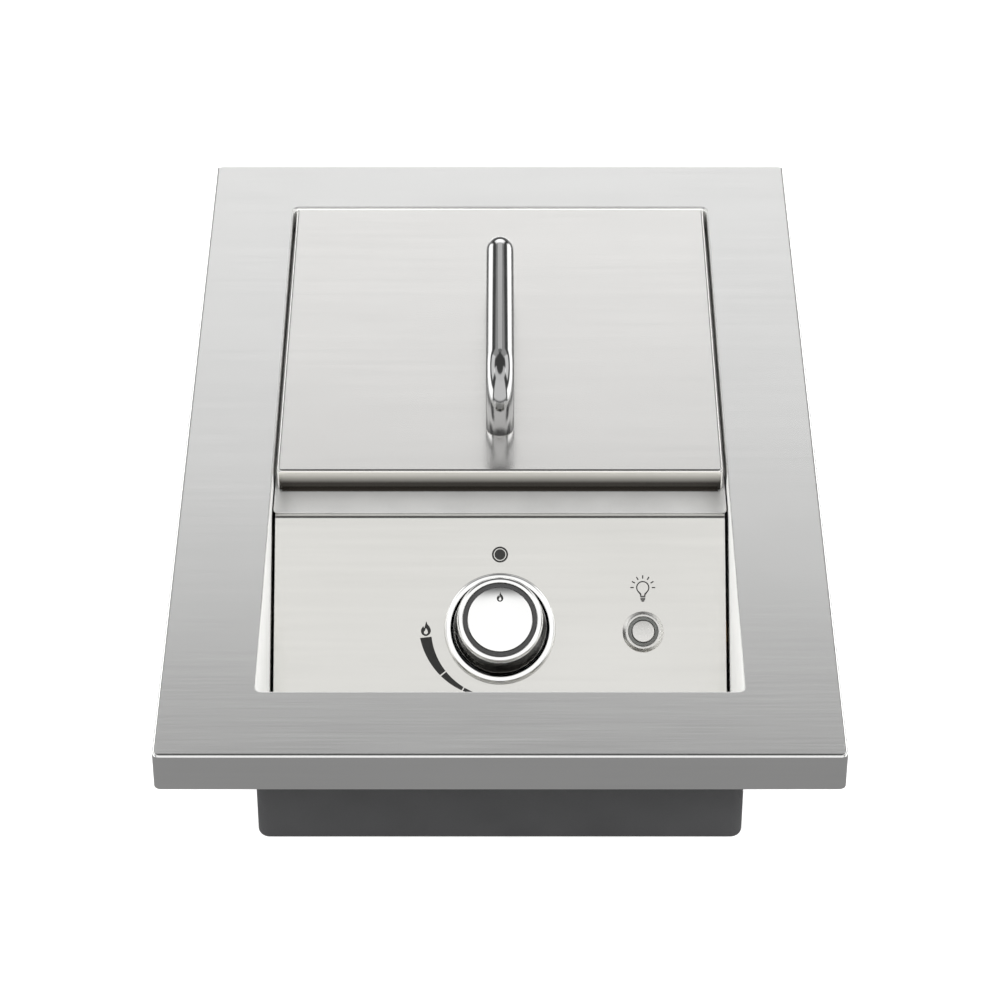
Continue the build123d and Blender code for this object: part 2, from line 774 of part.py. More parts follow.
# Angle brackets that stand the burner on the tub's floor
for side, name in ((-1, "burner_bracket_left"), (1, "burner_bracket_right")):
    inner = plenum_width / 2 + sheet_gap
    foot_z = tub_floor_top + sheet_gap
    with BuildPart() as bracket:
        with BuildSketch(Plane.XZ.offset(bracket_length / 2 - tub_middle)):
            with BuildLine():
                Polyline((side * inner, foot_z), (side * (inner + bracket_foot), foot_z),
                         (side * (inner + bracket_foot), foot_z + bracket_sheet),
                         (side * (inner + bracket_sheet), foot_z + bracket_sheet),
                         (side * (inner + bracket_sheet), foot_z + bracket_height),
                         (side * inner, foot_z + bracket_height), close=True)
            make_face()
        extrude(amount=-bracket_length)
        for place in foot_screw_places + leg_screw_places:
            if place.origin.X * side > 0:
                with BuildSketch(place):
                    Circle(screw_shank + screw_clearance)
                extrude(amount=-cut_overrun, mode=Mode.SUBTRACT)
    keep(bracket.part, name)

keep(pan_screws(foot_screw_places + leg_screw_places), "burner_screws")

# Venturi: a barrel with air windows, a throat, and a taper into the mixing chamber
venturi_end = plenum_front + venturi_reach - venturi_front
throat_y = venturi_barrel_length + venturi_throat_run
with BuildPart() as venturi_tube:
    with BuildSketch(profile_plane(venturi_place)):
        with BuildLine():
            FilletPolyline((venturi_barrel, 0), (venturi_barrel, venturi_barrel_length),
                           (venturi_throat, throat_y),
                           (venturi_outlet, plenum_front - venturi_front - venturi_reach),
                           (venturi_outlet, venturi_end), radius=venturi_joint_radius)
            offset(amount=venturi_wall, side=Side.LEFT)
        make_face()
        with BuildLine():
            Polyline((venturi_mouth, 0), (venturi_barrel, 0), (venturi_barrel, venturi_wall),
                     (venturi_mouth, venturi_wall), close=True)
        make_face()
    revolve(axis=turning_axis(venturi_place))
    for n in range(air_windows):
        angle = radians(180 + n * 360 / air_windows)
        with BuildSketch(Plane(origin=(0, venturi_front + air_window_set, venturi_height), x_dir=(0, 1, 0),
                               z_dir=(sin(angle), 0, cos(angle)))):
            Circle(air_window)
        extrude(amount=venturi_barrel + cut_overrun, mode=Mode.SUBTRACT)
    with BuildSketch(upright(0, venturi_front + shutter_slot_set, venturi_height)):
        Circle(screw_shank + thread_gap)
    extrude(amount=venturi_barrel + cut_overrun, mode=Mode.SUBTRACT)
keep(venturi_tube.part, "venturi_tube")

# Air shutter: a sleeve with the same windows, a slot for its screw and an ear to turn it by
sleeve_inner = venturi_barrel + shutter_fit
sleeve_outer = sleeve_inner + shutter_wall
sleeve_place = rearward(0, venturi_front + shutter_set, venturi_height)
with BuildPart() as air_shutter:
    with BuildSketch(sleeve_place):
        Circle(sleeve_outer)
        with Locations(((sleeve_outer + shutter_ear_height / 2), 0)):
            Rectangle(shutter_ear_height + shutter_wall, shutter_ear_width)
        Circle(sleeve_inner, mode=Mode.SUBTRACT)
    extrude(amount=shutter_wall)
    with BuildSketch(sleeve_place):
        Circle(sleeve_outer)
        Circle(sleeve_inner, mode=Mode.SUBTRACT)
    extrude(amount=shutter_length)
    for n in range(air_windows):
        angle = radians(180 + n * 360 / air_windows)
        with BuildSketch(Plane(origin=(0, venturi_front + air_window_set, venturi_height), x_dir=(0, 1, 0),
                               z_dir=(sin(angle), 0, cos(angle)))):
            Circle(air_window)
        extrude(amount=sleeve_outer + cut_overrun, mode=Mode.SUBTRACT)
    slot_first = radians(-air_turn - slot_side_angle)
    slot_last = radians(slot_side_angle)
    slot_radius = 2 * sleeve_outer
    slot_front = venturi_front + shutter_slot_set - shutter_slot_width / 2
    with BuildSketch(Plane(origin=(0, slot_front, venturi_height), x_dir=(1, 0, 0), z_dir=(0, -1, 0))):
        with BuildLine():
            Polyline((0, 0), (slot_radius * sin(slot_first), slot_radius * cos(slot_first)),
                     (slot_radius * sin(slot_last), slot_radius * cos(slot_last)), close=True)
        make_face()
    extrude(amount=-shutter_slot_width, mode=Mode.SUBTRACT)
keep(air_shutter.part, "air_shutter")

shutter_screw_place = upright(0, venturi_front + shutter_slot_set, venturi_height + sleeve_outer + sheet_gap)
keep(pan_screws([shutter_screw_place]), "shutter_screw")

# Heat shield in front of the tub, hung from the ledge
shield_y = tub_front - shield_set
shield_top = ledge_under - sheet_gap
shield_height = shield_top - shield_foot
with BuildPart() as heat_shield:
    with BuildSketch(Plane.XZ.offset(-shield_y)):
        with Locations((0, shield_top - shield_height / 2)):
            Rectangle(shield_width, shield_height)
        with Locations((0, venturi_height)):
            Circle(venturi_throat + shield_hole_margin, mode=Mode.SUBTRACT)
        with Locations((electrode_x, spark_lead_height)):
            Circle(spark_lead_radius + shield_hole_margin, mode=Mode.SUBTRACT)
    extrude(amount=-shield_sheet)
    with BuildSketch(Plane.XY.offset(shield_top)):
        with Locations((0, (shield_y + tub_front) / 2)):
            Rectangle(shield_width, shield_set - sheet_gap)
    extrude(amount=-shield_sheet)
keep(heat_shield.part, "heat_shield")

# Control panel: one folded sheet from under the ledge, down the slope and along the well to the front wall
with BuildPart() as control_panel:
    with BuildSketch(Plane.YZ):
        with BuildLine():
            FilletPolyline((panel_rear, panel_top), (panel_corner, panel_top), on_slope(panel_fall, 0),
                           (well_front, well_floor), (well_front, well_floor + well_upstand),
                           radius=(panel_bend, well_bend, well_bend))
            offset(amount=panel_sheet, side=Side.LEFT)
        make_face()
    extrude(amount=panel_width / 2, both=True)
    for side in (-1, 1):
        with BuildSketch(Plane.YZ.offset(side * panel_width / 2)):
            with BuildLine():
                Polyline(on_slope(panel_flange_start, -panel_sheet / 2),
                         on_slope(panel_fall - panel_flange_start, -panel_sheet / 2),
                         on_slope(panel_fall - panel_flange_start, -panel_flange),
                         on_slope(panel_flange_start, -panel_flange), close=True)
            make_face()
        extrude(amount=-side * panel_sheet)
    with BuildSketch(knob_place):
        Circle(neck_radius + neck_hole_gap)
        with Locations((light_ring_radius - 2 * light_ring_height, 0)):
            Circle(lead_radius + sheet_gap)
    extrude(amount=-cut_overrun, mode=Mode.SUBTRACT)
    with BuildSketch(panel_place(switch_right, switch_down)):
        Circle(switch_barrel_radius + part_fit)
    extrude(amount=-cut_overrun, mode=Mode.SUBTRACT)
    for place in panel_screw_places + upstand_screw_places:
        with BuildSketch(place):
            Circle(screw_shank + screw_clearance)
        extrude(amount=-cut_overrun, mode=Mode.SUBTRACT)
    with BuildSketch(Plane.XY.offset(well_floor)):
        with Locations((0, well_front + panel_screw_set)):
            with GridLocations(panel_screw_pitch, 0, 3, 1):
                Circle(drain_radius)
    extrude(amount=-cut_overrun, mode=Mode.SUBTRACT)
keep(control_panel.part, "control_panel")

panel_screw_length = firebox_sheet + sheet_gap + panel_sheet + screw_head_height
upstand_screw_length = panel_sheet + well_front_gap + frame_sheet
with BuildPart() as panel_screws:
    add(pan_screws(panel_screw_places, panel_screw_length))
    add(pan_screws(upstand_screw_places, upstand_screw_length))
keep(panel_screws.part, "panel_screws")

# Knob bezel: a dished ring with a rolled rim, over a clear ring that lights it from below
bezel_lift = sheet_gap + light_ring_height + sheet_gap
with BuildPart() as knob_bezel:
    with BuildSketch(profile_plane(knob_place)):
        with BuildLine():
            crown_radius = (bezel_radius + bezel_inner) / 2
            Polyline((crown_radius, bezel_rim), (bezel_inner + bezel_floor, bezel_rim - bezel_floor / 2),
                     (bezel_inner, bezel_rim - bezel_floor),
                     (bezel_inner - bezel_floor, sheet_gap + bezel_floor),
                     (neck_radius + neck_hole_gap, sheet_gap + bezel_floor),
                     (neck_radius + neck_hole_gap, sheet_gap),
                     (bezel_inner, sheet_gap), (bezel_inner, bezel_lift), (bezel_radius, bezel_lift))
            Line((bezel_radius, bezel_lift), (bezel_radius, bezel_lift + bezel_floor / 2))
            ThreePointArc((bezel_radius, bezel_lift + bezel_floor / 2),
                          (bezel_radius - bezel_floor, (bezel_rim + bezel_lift + bezel_floor) / 2),
                          (crown_radius, bezel_rim))
        make_face()
    revolve(axis=turning_axis(knob_place))
keep(knob_bezel.part, "knob_bezel")

with BuildPart() as bezel_light_ring:
    with BuildSketch(knob_place.offset(sheet_gap)):
        Circle(light_ring_radius)
        Circle(bezel_inner + sheet_gap, mode=Mode.SUBTRACT)
    extrude(amount=light_ring_height)
keep(bezel_light_ring.part, "bezel_light_ring")

# Gas valve body: a turned barrel with bolting ears, a side boss for the supply and a jet boss to the venturi
jet_start = venturi_front - injector_reach + injector_entry - injector_hex - outlet_reach
bore_bottom = -plug_foot - 2 * spring_wire
with BuildPart() as valve_body:
    with BuildSketch(knob_place.offset(-valve_depth)):
        Circle(valve_radius)
    extrude(amount=valve_depth - bonnet_depth - bonnet_sheet)
    chamfer(valve_body.edges().filter_by(GeomType.CIRCLE).sort_by(Axis.Z)[0], spindle_radius / 4)
    with BuildSketch(knob_place.offset(-bonnet_depth - bonnet_sheet)):
        RectangleRounded(ear_width, ear_height, ear_corner)
    extrude(amount=-ear_thickness)
    with BuildSketch(manifold_place):
        Circle(manifold_boss)
    extrude(amount=manifold_boss_reach)
    with BuildSketch(rearward(0, manifold_y, venturi_height)):
        Circle(outlet_radius)
    extrude(amount=jet_start + outlet_reach - manifold_y)
    with BuildSketch(profile_plane(knob_place)):
        with BuildLine():
            Polyline((0, bore_bottom), (plug_foot_radius + plug_fit, bore_bottom),
                     (plug_foot_radius + plug_fit, -plug_foot), (plug_top_radius + plug_fit, -plug_top),
                     (plug_top_radius + plug_fit, -bonnet_depth - bonnet_sheet),
                     (0, -bonnet_depth - bonnet_sheet), close=True)
        make_face()
    revolve(axis=turning_axis(knob_place), mode=Mode.SUBTRACT)
    with BuildSketch(manifold_place):
        Circle(plug_port)
    extrude(amount=manifold_boss_reach, mode=Mode.SUBTRACT)
    with BuildSketch(manifold_place.offset(manifold_boss_reach)):
        Circle(manifold_radius + part_fit)
    extrude(amount=-manifold_socket, mode=Mode.SUBTRACT)
    with BuildSketch(rearward(0, manifold_y, venturi_height)):
        Circle(plug_port)
    extrude(amount=jet_start + outlet_reach - manifold_y, mode=Mode.SUBTRACT)
    with BuildSketch(knob_place.offset(-bonnet_depth - bonnet_sheet)):
        with GridLocations(ear_screw_pitch, 0, 2, 1):
            Circle(screw_shank + thread_gap)
    extrude(amount=-ear_thickness, mode=Mode.SUBTRACT)
keep(valve_body.part, "valve_body")

# Bonnet: the cover plate with the threaded neck that comes through the panel
with BuildPart() as valve_bonnet:
    with BuildSketch(knob_place.offset(-bonnet_depth)):
        RectangleRounded(ear_width, ear_height, ear_corner)
        with GridLocations(ear_screw_pitch, 0, 2, 1):
            Circle(screw_shank + thread_gap, mode=Mode.SUBTRACT)
    extrude(amount=-bonnet_sheet)
    with BuildSketch(knob_place.offset(-bonnet_depth)):
        Circle(neck_radius)
    extrude(amount=bonnet_depth + neck_top)
    with BuildSketch(knob_place.offset(-bonnet_depth - bonnet_sheet)):
        Circle(spindle_radius + spindle_fit)
    extrude(amount=bonnet_depth + bonnet_sheet + neck_top, mode=Mode.SUBTRACT)
keep(valve_bonnet.part, "valve_bonnet")

bonnet_screw_places = [panel_place(side * ear_screw_pitch / 2, knob_down, -bonnet_depth) for side in (-1, 1)]
keep(pan_screws(bonnet_screw_places, bonnet_sheet + ear_thickness), "bonnet_screws")
keep(hex_nut(knob_place.offset(sheet_gap + bezel_floor + sheet_gap), valve_nut_flats, valve_nut_height,
             neck_radius + thread_gap), "valve_nut")

# Tapered plug, slotted for the spindle's blade and drilled across for the gas
with BuildPart() as valve_plug:
    with BuildSketch(profile_plane(knob_place)):
        with BuildLine():
            Polyline((0, -plug_foot), (plug_foot_radius, -plug_foot), (plug_top_radius, -plug_top),
                     (0, -plug_top), close=True)
        make_face()
    revolve(axis=turning_axis(knob_place))
    with BuildSketch(knob_place.offset(-plug_top)):
        Rectangle(2 * (plug_top_radius + plug_fit), blade_width + 2 * part_fit)
    extrude(amount=-plug_slot, mode=Mode.SUBTRACT)
    with BuildSketch(manifold_place.offset(-valve_radius)):
        Circle(plug_port)
    extrude(amount=2 * valve_radius, mode=Mode.SUBTRACT)
keep(valve_plug.part, "valve_plug")

# Spindle: a round shaft with a flat for the knob and a blade for the plug
blade_bottom = plug_top + plug_slot - push_travel - blade_clearance
with BuildPart() as valve_spindle:
    with BuildSketch(knob_place.offset(-bonnet_depth - bonnet_sheet - part_fit)):
        Circle(spindle_radius)
    extrude(amount=bonnet_depth + bonnet_sheet + part_fit + spindle_top)
    with BuildSketch(knob_place.offset(-blade_bottom)):
        Rectangle(2 * spindle_radius * slope_x, blade_width)
    extrude(amount=blade_bottom - bonnet_depth - bonnet_sheet - part_fit)
    with BuildSketch(knob_place.offset(spindle_top)):
        with Locations((0, spindle_radius)):
            Rectangle(2 * spindle_radius, spindle_radius)
    extrude(amount=collar_seat + collar_thickness + sheet_gap - spindle_top, mode=Mode.SUBTRACT)
keep(valve_spindle.part, "valve_spindle")

with BuildPart() as spindle_collar:
    with BuildSketch(knob_place.offset(collar_seat)):
        Circle(collar_radius)
        Circle(spindle_radius + spindle_fit, mode=Mode.SUBTRACT)
    extrude(amount=collar_thickness)
keep(spindle_collar.part, "spindle_collar")

# Return spring on the spindle, from the neck to the collar
spring_start = neck_top + spring_wire + sheet_gap
spring_rise = collar_seat - spring_wire - sheet_gap - spring_start
spring_radius = (neck_radius + spindle_radius) / 2
with BuildPart() as spindle_spring:
    with BuildLine() as coil:
        Helix(pitch=spring_rise / spring_turns, height=spring_rise, radius=spring_radius,
              center=tuple(knob_place.offset(spring_start).origin), direction=tuple(knob_place.z_dir))
    with BuildSketch(Plane(origin=coil.wire() @ 0, z_dir=coil.wire() % 0)):
        Circle(spring_wire)
    sweep(path=coil.wire(), is_frenet=True)
keep(spindle_spring.part, "spindle_spring")

# Control knob: a waisted hollow shell with a hub on the spindle and a recess in its face
recess_floor = knob_face - knob_recess_depth
hub_foot = collar_seat + collar_thickness + lid_seat_gap
with BuildPart() as control_knob:
    with BuildSketch(profile_plane(knob_place)):
        with BuildLine():
            Polyline((0, hub_foot), (knob_hub, hub_foot), (knob_hub, recess_floor - 2 * knob_wall),
                     (knob_waist_radius - knob_wall, recess_floor - 2 * knob_wall),
                     (knob_waist_radius - knob_wall, knob_waist), (knob_foot_radius - knob_wall, knob_foot),
                     (knob_foot_radius, knob_foot), (knob_foot_radius, knob_foot + knob_edge))
            flank = Spline((knob_foot_radius, knob_foot + knob_edge), (knob_waist_radius, knob_waist),
                           (knob_rim_radius, knob_face - knob_edge),
                           tangents=((-1, 1), (1, 2)))
            Polyline(flank @ 1, (knob_rim_radius - knob_edge / 2, knob_face), (knob_recess, knob_face),
                     (knob_recess, recess_floor), (0, recess_floor), (0, hub_foot))
        make_face()
    revolve(axis=turning_axis(knob_place))
    with BuildSketch(knob_place.offset(hub_foot)):
        Circle(spindle_radius + part_fit / 2)
        with Locations((0, spindle_radius + part_fit / 2)):
            Rectangle(2 * spindle_radius + part_fit, spindle_radius, mode=Mode.SUBTRACT)
    extrude(amount=spindle_top + part_fit - hub_foot, mode=Mode.SUBTRACT)
keep(control_knob.part, "control_knob")

with BuildPart() as knob_ring:
    with BuildSketch(knob_place.offset(recess_floor)):
        Circle(knob_recess - part_fit)
        Circle(knob_ring_inner, mode=Mode.SUBTRACT)
    extrude(amount=knob_recess_depth - knob_ring_drop)
keep(knob_ring.part, "knob_ring")

with BuildPart() as knob_cap:
    with BuildSketch(knob_place.offset(recess_floor)):
        Circle(knob_cap_radius)
    extrude(amount=knob_recess_depth + knob_cap_rise)
    chamfer(knob_cap.edges().filter_by(GeomType.CIRCLE).sort_by(Axis.Z)[-1], knob_cap_rise)
keep(knob_cap.part, "knob_cap")

# Lighted push switch: barrel with a flange, clear ring, button on a stem, nut and wiring base
switch_place = panel_place(switch_right, switch_down)
with BuildPart() as switch_barrel:
    with BuildSketch(profile_plane(switch_place)):
        with BuildLine():
            Polyline((switch_stem + part_fit, -switch_barrel_length),
                     (switch_barrel_radius, -switch_barrel_length),
                     (switch_barrel_radius, sheet_gap), (switch_flange, sheet_gap),
                     (switch_flange, switch_rise / 2))
            ThreePointArc((switch_flange, switch_rise / 2),
                          ((switch_flange + switch_barrel_radius) / 2, switch_rise * slope_x + sheet_gap * 2),
                          (switch_barrel_radius, switch_rise))
            Polyline((switch_barrel_radius, switch_rise), (switch_bore, switch_rise),
                     (switch_bore, -switch_bore_depth), (switch_stem + part_fit, -switch_bore_depth),
                     (switch_stem + part_fit, -switch_barrel_length))
        make_face()
    revolve(axis=turning_axis(switch_place))
keep(switch_barrel.part, "switch_barrel")

with BuildPart() as switch_light_ring:
    with BuildSketch(switch_place.offset(switch_ring_seat)):
        Circle(switch_bore - part_fit)
        Circle(switch_ring_inner, mode=Mode.SUBTRACT)
    extrude(amount=switch_ring_height - switch_ring_seat)
keep(switch_light_ring.part, "switch_light_ring")

with BuildPart() as switch_button:
    with BuildSketch(switch_place.offset(-switch_button_depth)):
        Circle(switch_button_radius)
    extrude(amount=switch_button_depth + switch_button_rise)
    chamfer(switch_button.edges().filter_by(GeomType.CIRCLE).sort_by(Axis.Z)[-1], switch_ring_seat)
    with BuildSketch(switch_place.offset(-switch_button_depth)):
        Circle(switch_stem)
    extrude(amount=switch_button_depth - switch_stem_depth)
keep(switch_button.part, "switch_button")

keep(hex_nut(switch_place.offset(-panel_sheet - sheet_gap - switch_nut_height), switch_nut_flats,
             switch_nut_height, switch_barrel_radius + thread_gap), "switch_nut")

with BuildPart() as switch_base:
    with BuildSketch(switch_place.offset(-switch_barrel_length)):
        Circle(switch_base_radius)
    extrude(amount=-switch_base_height)
    chamfer(switch_base.edges().filter_by(GeomType.CIRCLE).sort_by(Axis.Z)[0], switch_ring_seat * 2)
keep(switch_base.part, "switch_base")

# Gas supply: injector, pipe, wall fitting with a flare end, and its locknut
jet_place = rearward(0, jet_start + outlet_reach, venturi_height)
with BuildPart() as injector:
    with BuildSketch(jet_place):
        RegularPolygon(radius=injector_flats / 2, side_count=6, major_radius=False)
    extrude(amount=injector_hex)
    with BuildSketch(jet_place.offset(injector_hex)):
        Circle(injector_tip)
    extrude(amount=injector_reach)
    with BuildSketch(jet_place):
        Circle(injector_jet)
    extrude(amount=injector_hex + injector_reach, mode=Mode.SUBTRACT)
keep(injector.part, "injector")

pipe_start = manifold_boss_reach - manifold_socket + part_fit
pipe_end = wall_inner - locknut_height + sheet_gap
with BuildPart() as manifold_pipe:
    with BuildSketch(manifold_place.offset(pipe_start)):
        Circle(manifold_radius)
        Circle(manifold_radius - manifold_wall, mode=Mode.SUBTRACT)
    extrude(amount=pipe_end - pipe_start)
keep(manifold_pipe.part, "manifold_pipe")

fitting_start = wall_outer - fitting_inside
fitting_seat = wall_outer + sheet_gap
fitting_end = fitting_seat + fitting_hex + flare_length + flare_nose
with BuildPart() as inlet_fitting:
    with BuildSketch(profile_plane(manifold_place)):
        with BuildLine():
            Polyline((fitting_bore, fitting_start), (fitting_thread, fitting_start),
                     (fitting_thread, fitting_seat + fitting_hex), (flare_radius, fitting_seat + fitting_hex),
                     (flare_radius, fitting_end - flare_nose), (flare_tip, fitting_end),
                     (fitting_bore, fitting_end), close=True)
        make_face()
    revolve(axis=turning_axis(manifold_place))
    with BuildSketch(manifold_place.offset(fitting_seat)):
        RegularPolygon(radius=fitting_flats / 2, side_count=6, major_radius=False)
        Circle(fitting_bore, mode=Mode.SUBTRACT)
    extrude(amount=fitting_hex)
    with BuildSketch(manifold_place.offset(fitting_start)):
        Circle(manifold_radius + part_fit)
    extrude(amount=pipe_end - fitting_start + part_fit, mode=Mode.SUBTRACT)
keep(inlet_fitting.part, "inlet_fitting")
keep(hex_nut(manifold_place.offset(wall_inner - sheet_gap - locknut_height), locknut_flats, locknut_height,
             fitting_thread + thread_gap), "fitting_locknut")

# Low-voltage inlet on the side wall, with its nut
socket_place = facing(0, socket_y, socket_z, (1, 0, 0))
with BuildPart() as power_socket:
    with BuildSketch(socket_place.offset(wall_outer - socket_inside)):
        Circle(socket_radius)
    extrude(amount=socket_inside + sheet_gap)
    with BuildSketch(socket_place.offset(wall_outer + sheet_gap)):
        Circle(socket_flange)
    extrude(amount=socket_lip)
    with BuildSketch(socket_place.offset(wall_outer + sheet_gap + socket_lip)):
        Circle(socket_radius - frame_sheet)
        Circle(socket_pin / 2, mode=Mode.SUBTRACT)
    extrude(amount=-socket_inside + socket_lip, mode=Mode.SUBTRACT)
keep(power_socket.part, "power_socket")
keep(hex_nut(socket_place.offset(wall_inner - sheet_gap - socket_nut_height), socket_nut_flats,
             socket_nut_height, socket_radius + thread_gap), "socket_nut")

# Leads: socket to switch, and switch to the ring under the bezel
base_middle = -switch_barrel_length - switch_base_height / 2
base_y, base_z = on_slope(switch_down, base_middle)
lead_turn_x = (switch_right + wall_inner) / 2
keep(tube_along([(switch_right + switch_base_radius, base_y, base_z), (lead_turn_x, base_y, base_z),
                 (lead_turn_x, socket_y, socket_z), (wall_outer - socket_inside, socket_y, socket_z)],
                lead_radius), "supply_lead")
ring_lead_x = light_ring_radius - 2 * light_ring_height
ring_y, ring_z = on_slope(knob_down, sheet_gap)
lead_low_y, lead_low_z = on_slope(knob_down, base_middle)
keep(tube_along([(switch_right - switch_base_radius, base_y, base_z), (ring_lead_x, lead_low_y, lead_low_z),
                 (ring_lead_x, ring_y, ring_z)], lead_radius), "ring_lead")

# Ignition: electrode in its bracket on the burner, module on the casing's floor, and the lead between them
with BuildPart() as ignition_electrode:
    with BuildSketch(upright(electrode_x, electrode_y, insulator_foot)):
        Circle(insulator_radius)
    extrude(amount=insulator_top - insulator_foot)
    with BuildSketch(upright(electrode_x, electrode_y, electrode_plate_height + electrode_sheet + sheet_gap)):
        Circle(insulator_collar)
    extrude(amount=insulator_collar_height)
keep(ignition_electrode.part, "ignition_electrode")

with BuildPart() as electrode_tip:
    with BuildLine() as tip_path:
        FilletPolyline((electrode_x, electrode_y, insulator_top), (electrode_x, electrode_y, spark_height),
                       (electrode_x, electrode_y + spark_reach, spark_height), radius=2 * spark_wire)
    with BuildSketch(upright(electrode_x, electrode_y, insulator_top)):
        Circle(spark_wire)
    sweep(path=tip_path.wire())
keep(electrode_tip.part, "electrode_tip")

leg_y = electrode_wall - sheet_gap
with BuildPart() as electrode_bracket:
    with BuildSketch(Plane.XY.offset(electrode_plate_height)):
        with Locations((electrode_x, (leg_y + electrode_y - electrode_plate_width / 2) / 2)):
            Rectangle(electrode_plate_width, leg_y - electrode_y + electrode_plate_width / 2)
        with Locations((electrode_x, electrode_y)):
            Circle(insulator_radius + part_fit, mode=Mode.SUBTRACT)
    extrude(amount=electrode_sheet)
    with BuildSketch(Plane.XZ.offset(-leg_y)):
        with Locations((electrode_x, electrode_plate_height + electrode_leg / 2)):
            Rectangle(electrode_plate_width, electrode_leg)
    extrude(amount=electrode_sheet)
    with BuildSketch(electrode_screw_place):
        Circle(screw_shank + thread_gap)
    extrude(amount=-cut_overrun, mode=Mode.SUBTRACT)
keep(electrode_bracket.part, "electrode_bracket")
keep(pan_screws([electrode_screw_place]), "electrode_screw")

module_floor = casing_sheet + sheet_gap
module_top = module_floor + module_height
module_screw_places = [upright(electrode_x + side * (module_width + module_ear) / 2, module_y,
                               module_floor + module_ear_sheet) for side in (-1, 1)]
with BuildPart() as spark_module:
    with BuildSketch(Plane.XY.offset(module_floor)):
        with Locations((electrode_x, module_y)):
            RectangleRounded(module_width, module_depth, module_corner)
    extrude(amount=module_height)
    fillet(spark_module.faces().sort_by(Axis.Z)[-1].edges(), module_corner / 2)
    with BuildSketch(Plane.XY.offset(module_floor)):
        with Locations((electrode_x, module_y)):
            Rectangle(module_width + 2 * module_ear, module_depth / 2)
    extrude(amount=module_ear_sheet)
    with BuildSketch(upright(electrode_x, module_y, module_top)):
        Circle(terminal_radius)
    extrude(amount=terminal_height)
    for place in module_screw_places:
        with BuildSketch(place):
            Circle(screw_shank + thread_gap)
        extrude(amount=-module_ear_sheet, mode=Mode.SUBTRACT)
keep(spark_module.part, "spark_module")
keep(pan_screws(module_screw_places, module_ear_sheet), "module_screws")
keep(tube_along([(electrode_x, electrode_y, insulator_foot), (electrode_x, electrode_y, spark_lead_height),
                 (electrode_x, module_y, spark_lead_height),
                 (electrode_x, module_y, module_top + terminal_height)], spark_lead_radius), "ignition_lead")

# Lid: a shallow pressed tray with a small hem under its front edge
handle_feet = [(0, handle_front), (0, handle_front + handle_span)]
lid_middle = (lid_front + lid_rear) / 2
with BuildPart() as lid:
    with BuildSketch(Plane.XY.offset(lid_bottom)):
        with Locations((0, lid_middle)):
            RectangleRounded(lid_width, lid_depth, lid_corner)
    extrude(amount=frame_height - lid_bottom)
    fillet(lid.faces().sort_by(Axis.Z)[-1].edges(), lid_bend)
    offset(amount=-lid_sheet, openings=lid.faces().sort_by(Axis.Z)[0])
    with BuildSketch(Plane.XY.offset(lid_bottom)):
        with Locations((0, lid_front - lid_hem / 2 + lid_sheet / 2)):
            Rectangle(lid_width - 2 * lid_corner, lid_hem + lid_sheet)
    extrude(amount=lid_sheet)
    with BuildSketch(Plane.XY.offset(frame_height)):
        with Locations(*handle_feet):
            Circle(handle_screw_shank + screw_clearance)
    extrude(amount=-cut_overrun, mode=Mode.SUBTRACT)
keep(lid.part, "lid")

# Handle: a round bar bent to a U, tapped in both feet
with BuildPart() as lid_handle:
    with BuildLine() as handle_path:
        FilletPolyline((0, handle_front, frame_height), (0, handle_front, frame_height + handle_height),
                       (0, handle_front + handle_span, frame_height + handle_height),
                       (0, handle_front + handle_span, frame_height), radius=handle_bend)
    with BuildSketch(upright(0, handle_front, frame_height)):
        Circle(handle_radius)
    sweep(path=handle_path.wire())
    with BuildSketch(Plane.XY.offset(frame_height)):
        with Locations(*handle_feet):
            Circle(handle_screw_shank + thread_gap)
    extrude(amount=handle_tap_depth, mode=Mode.SUBTRACT)
keep(lid_handle.part, "lid_handle")

lid_under = frame_height - lid_sheet
with BuildPart() as handle_washers:
    with BuildSketch(Plane.XY.offset(lid_under)):
        with Locations(*handle_feet):
            Circle(washer_radius)
            Circle(handle_screw_shank + screw_clearance, mode=Mode.SUBTRACT)
    extrude(amount=-washer_height)
keep(handle_washers.part, "handle_washers")

handle_screw_places = [Plane(origin=(x, y, lid_under - washer_height), x_dir=(1, 0, 0), z_dir=(0, 0, -1))
                       for x, y in handle_feet]
keep(pan_screws(handle_screw_places, handle_screw_length, handle_screw_shank, handle_screw_head,
                handle_screw_head_height), "handle_screws")
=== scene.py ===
"""Dresses the drop-in infrared burner: steel sheets, polished bar and knob, printed signs, studio light."""

import json
import math

import bmesh
import bpy
import numpy as np
from mathutils import Matrix, Vector


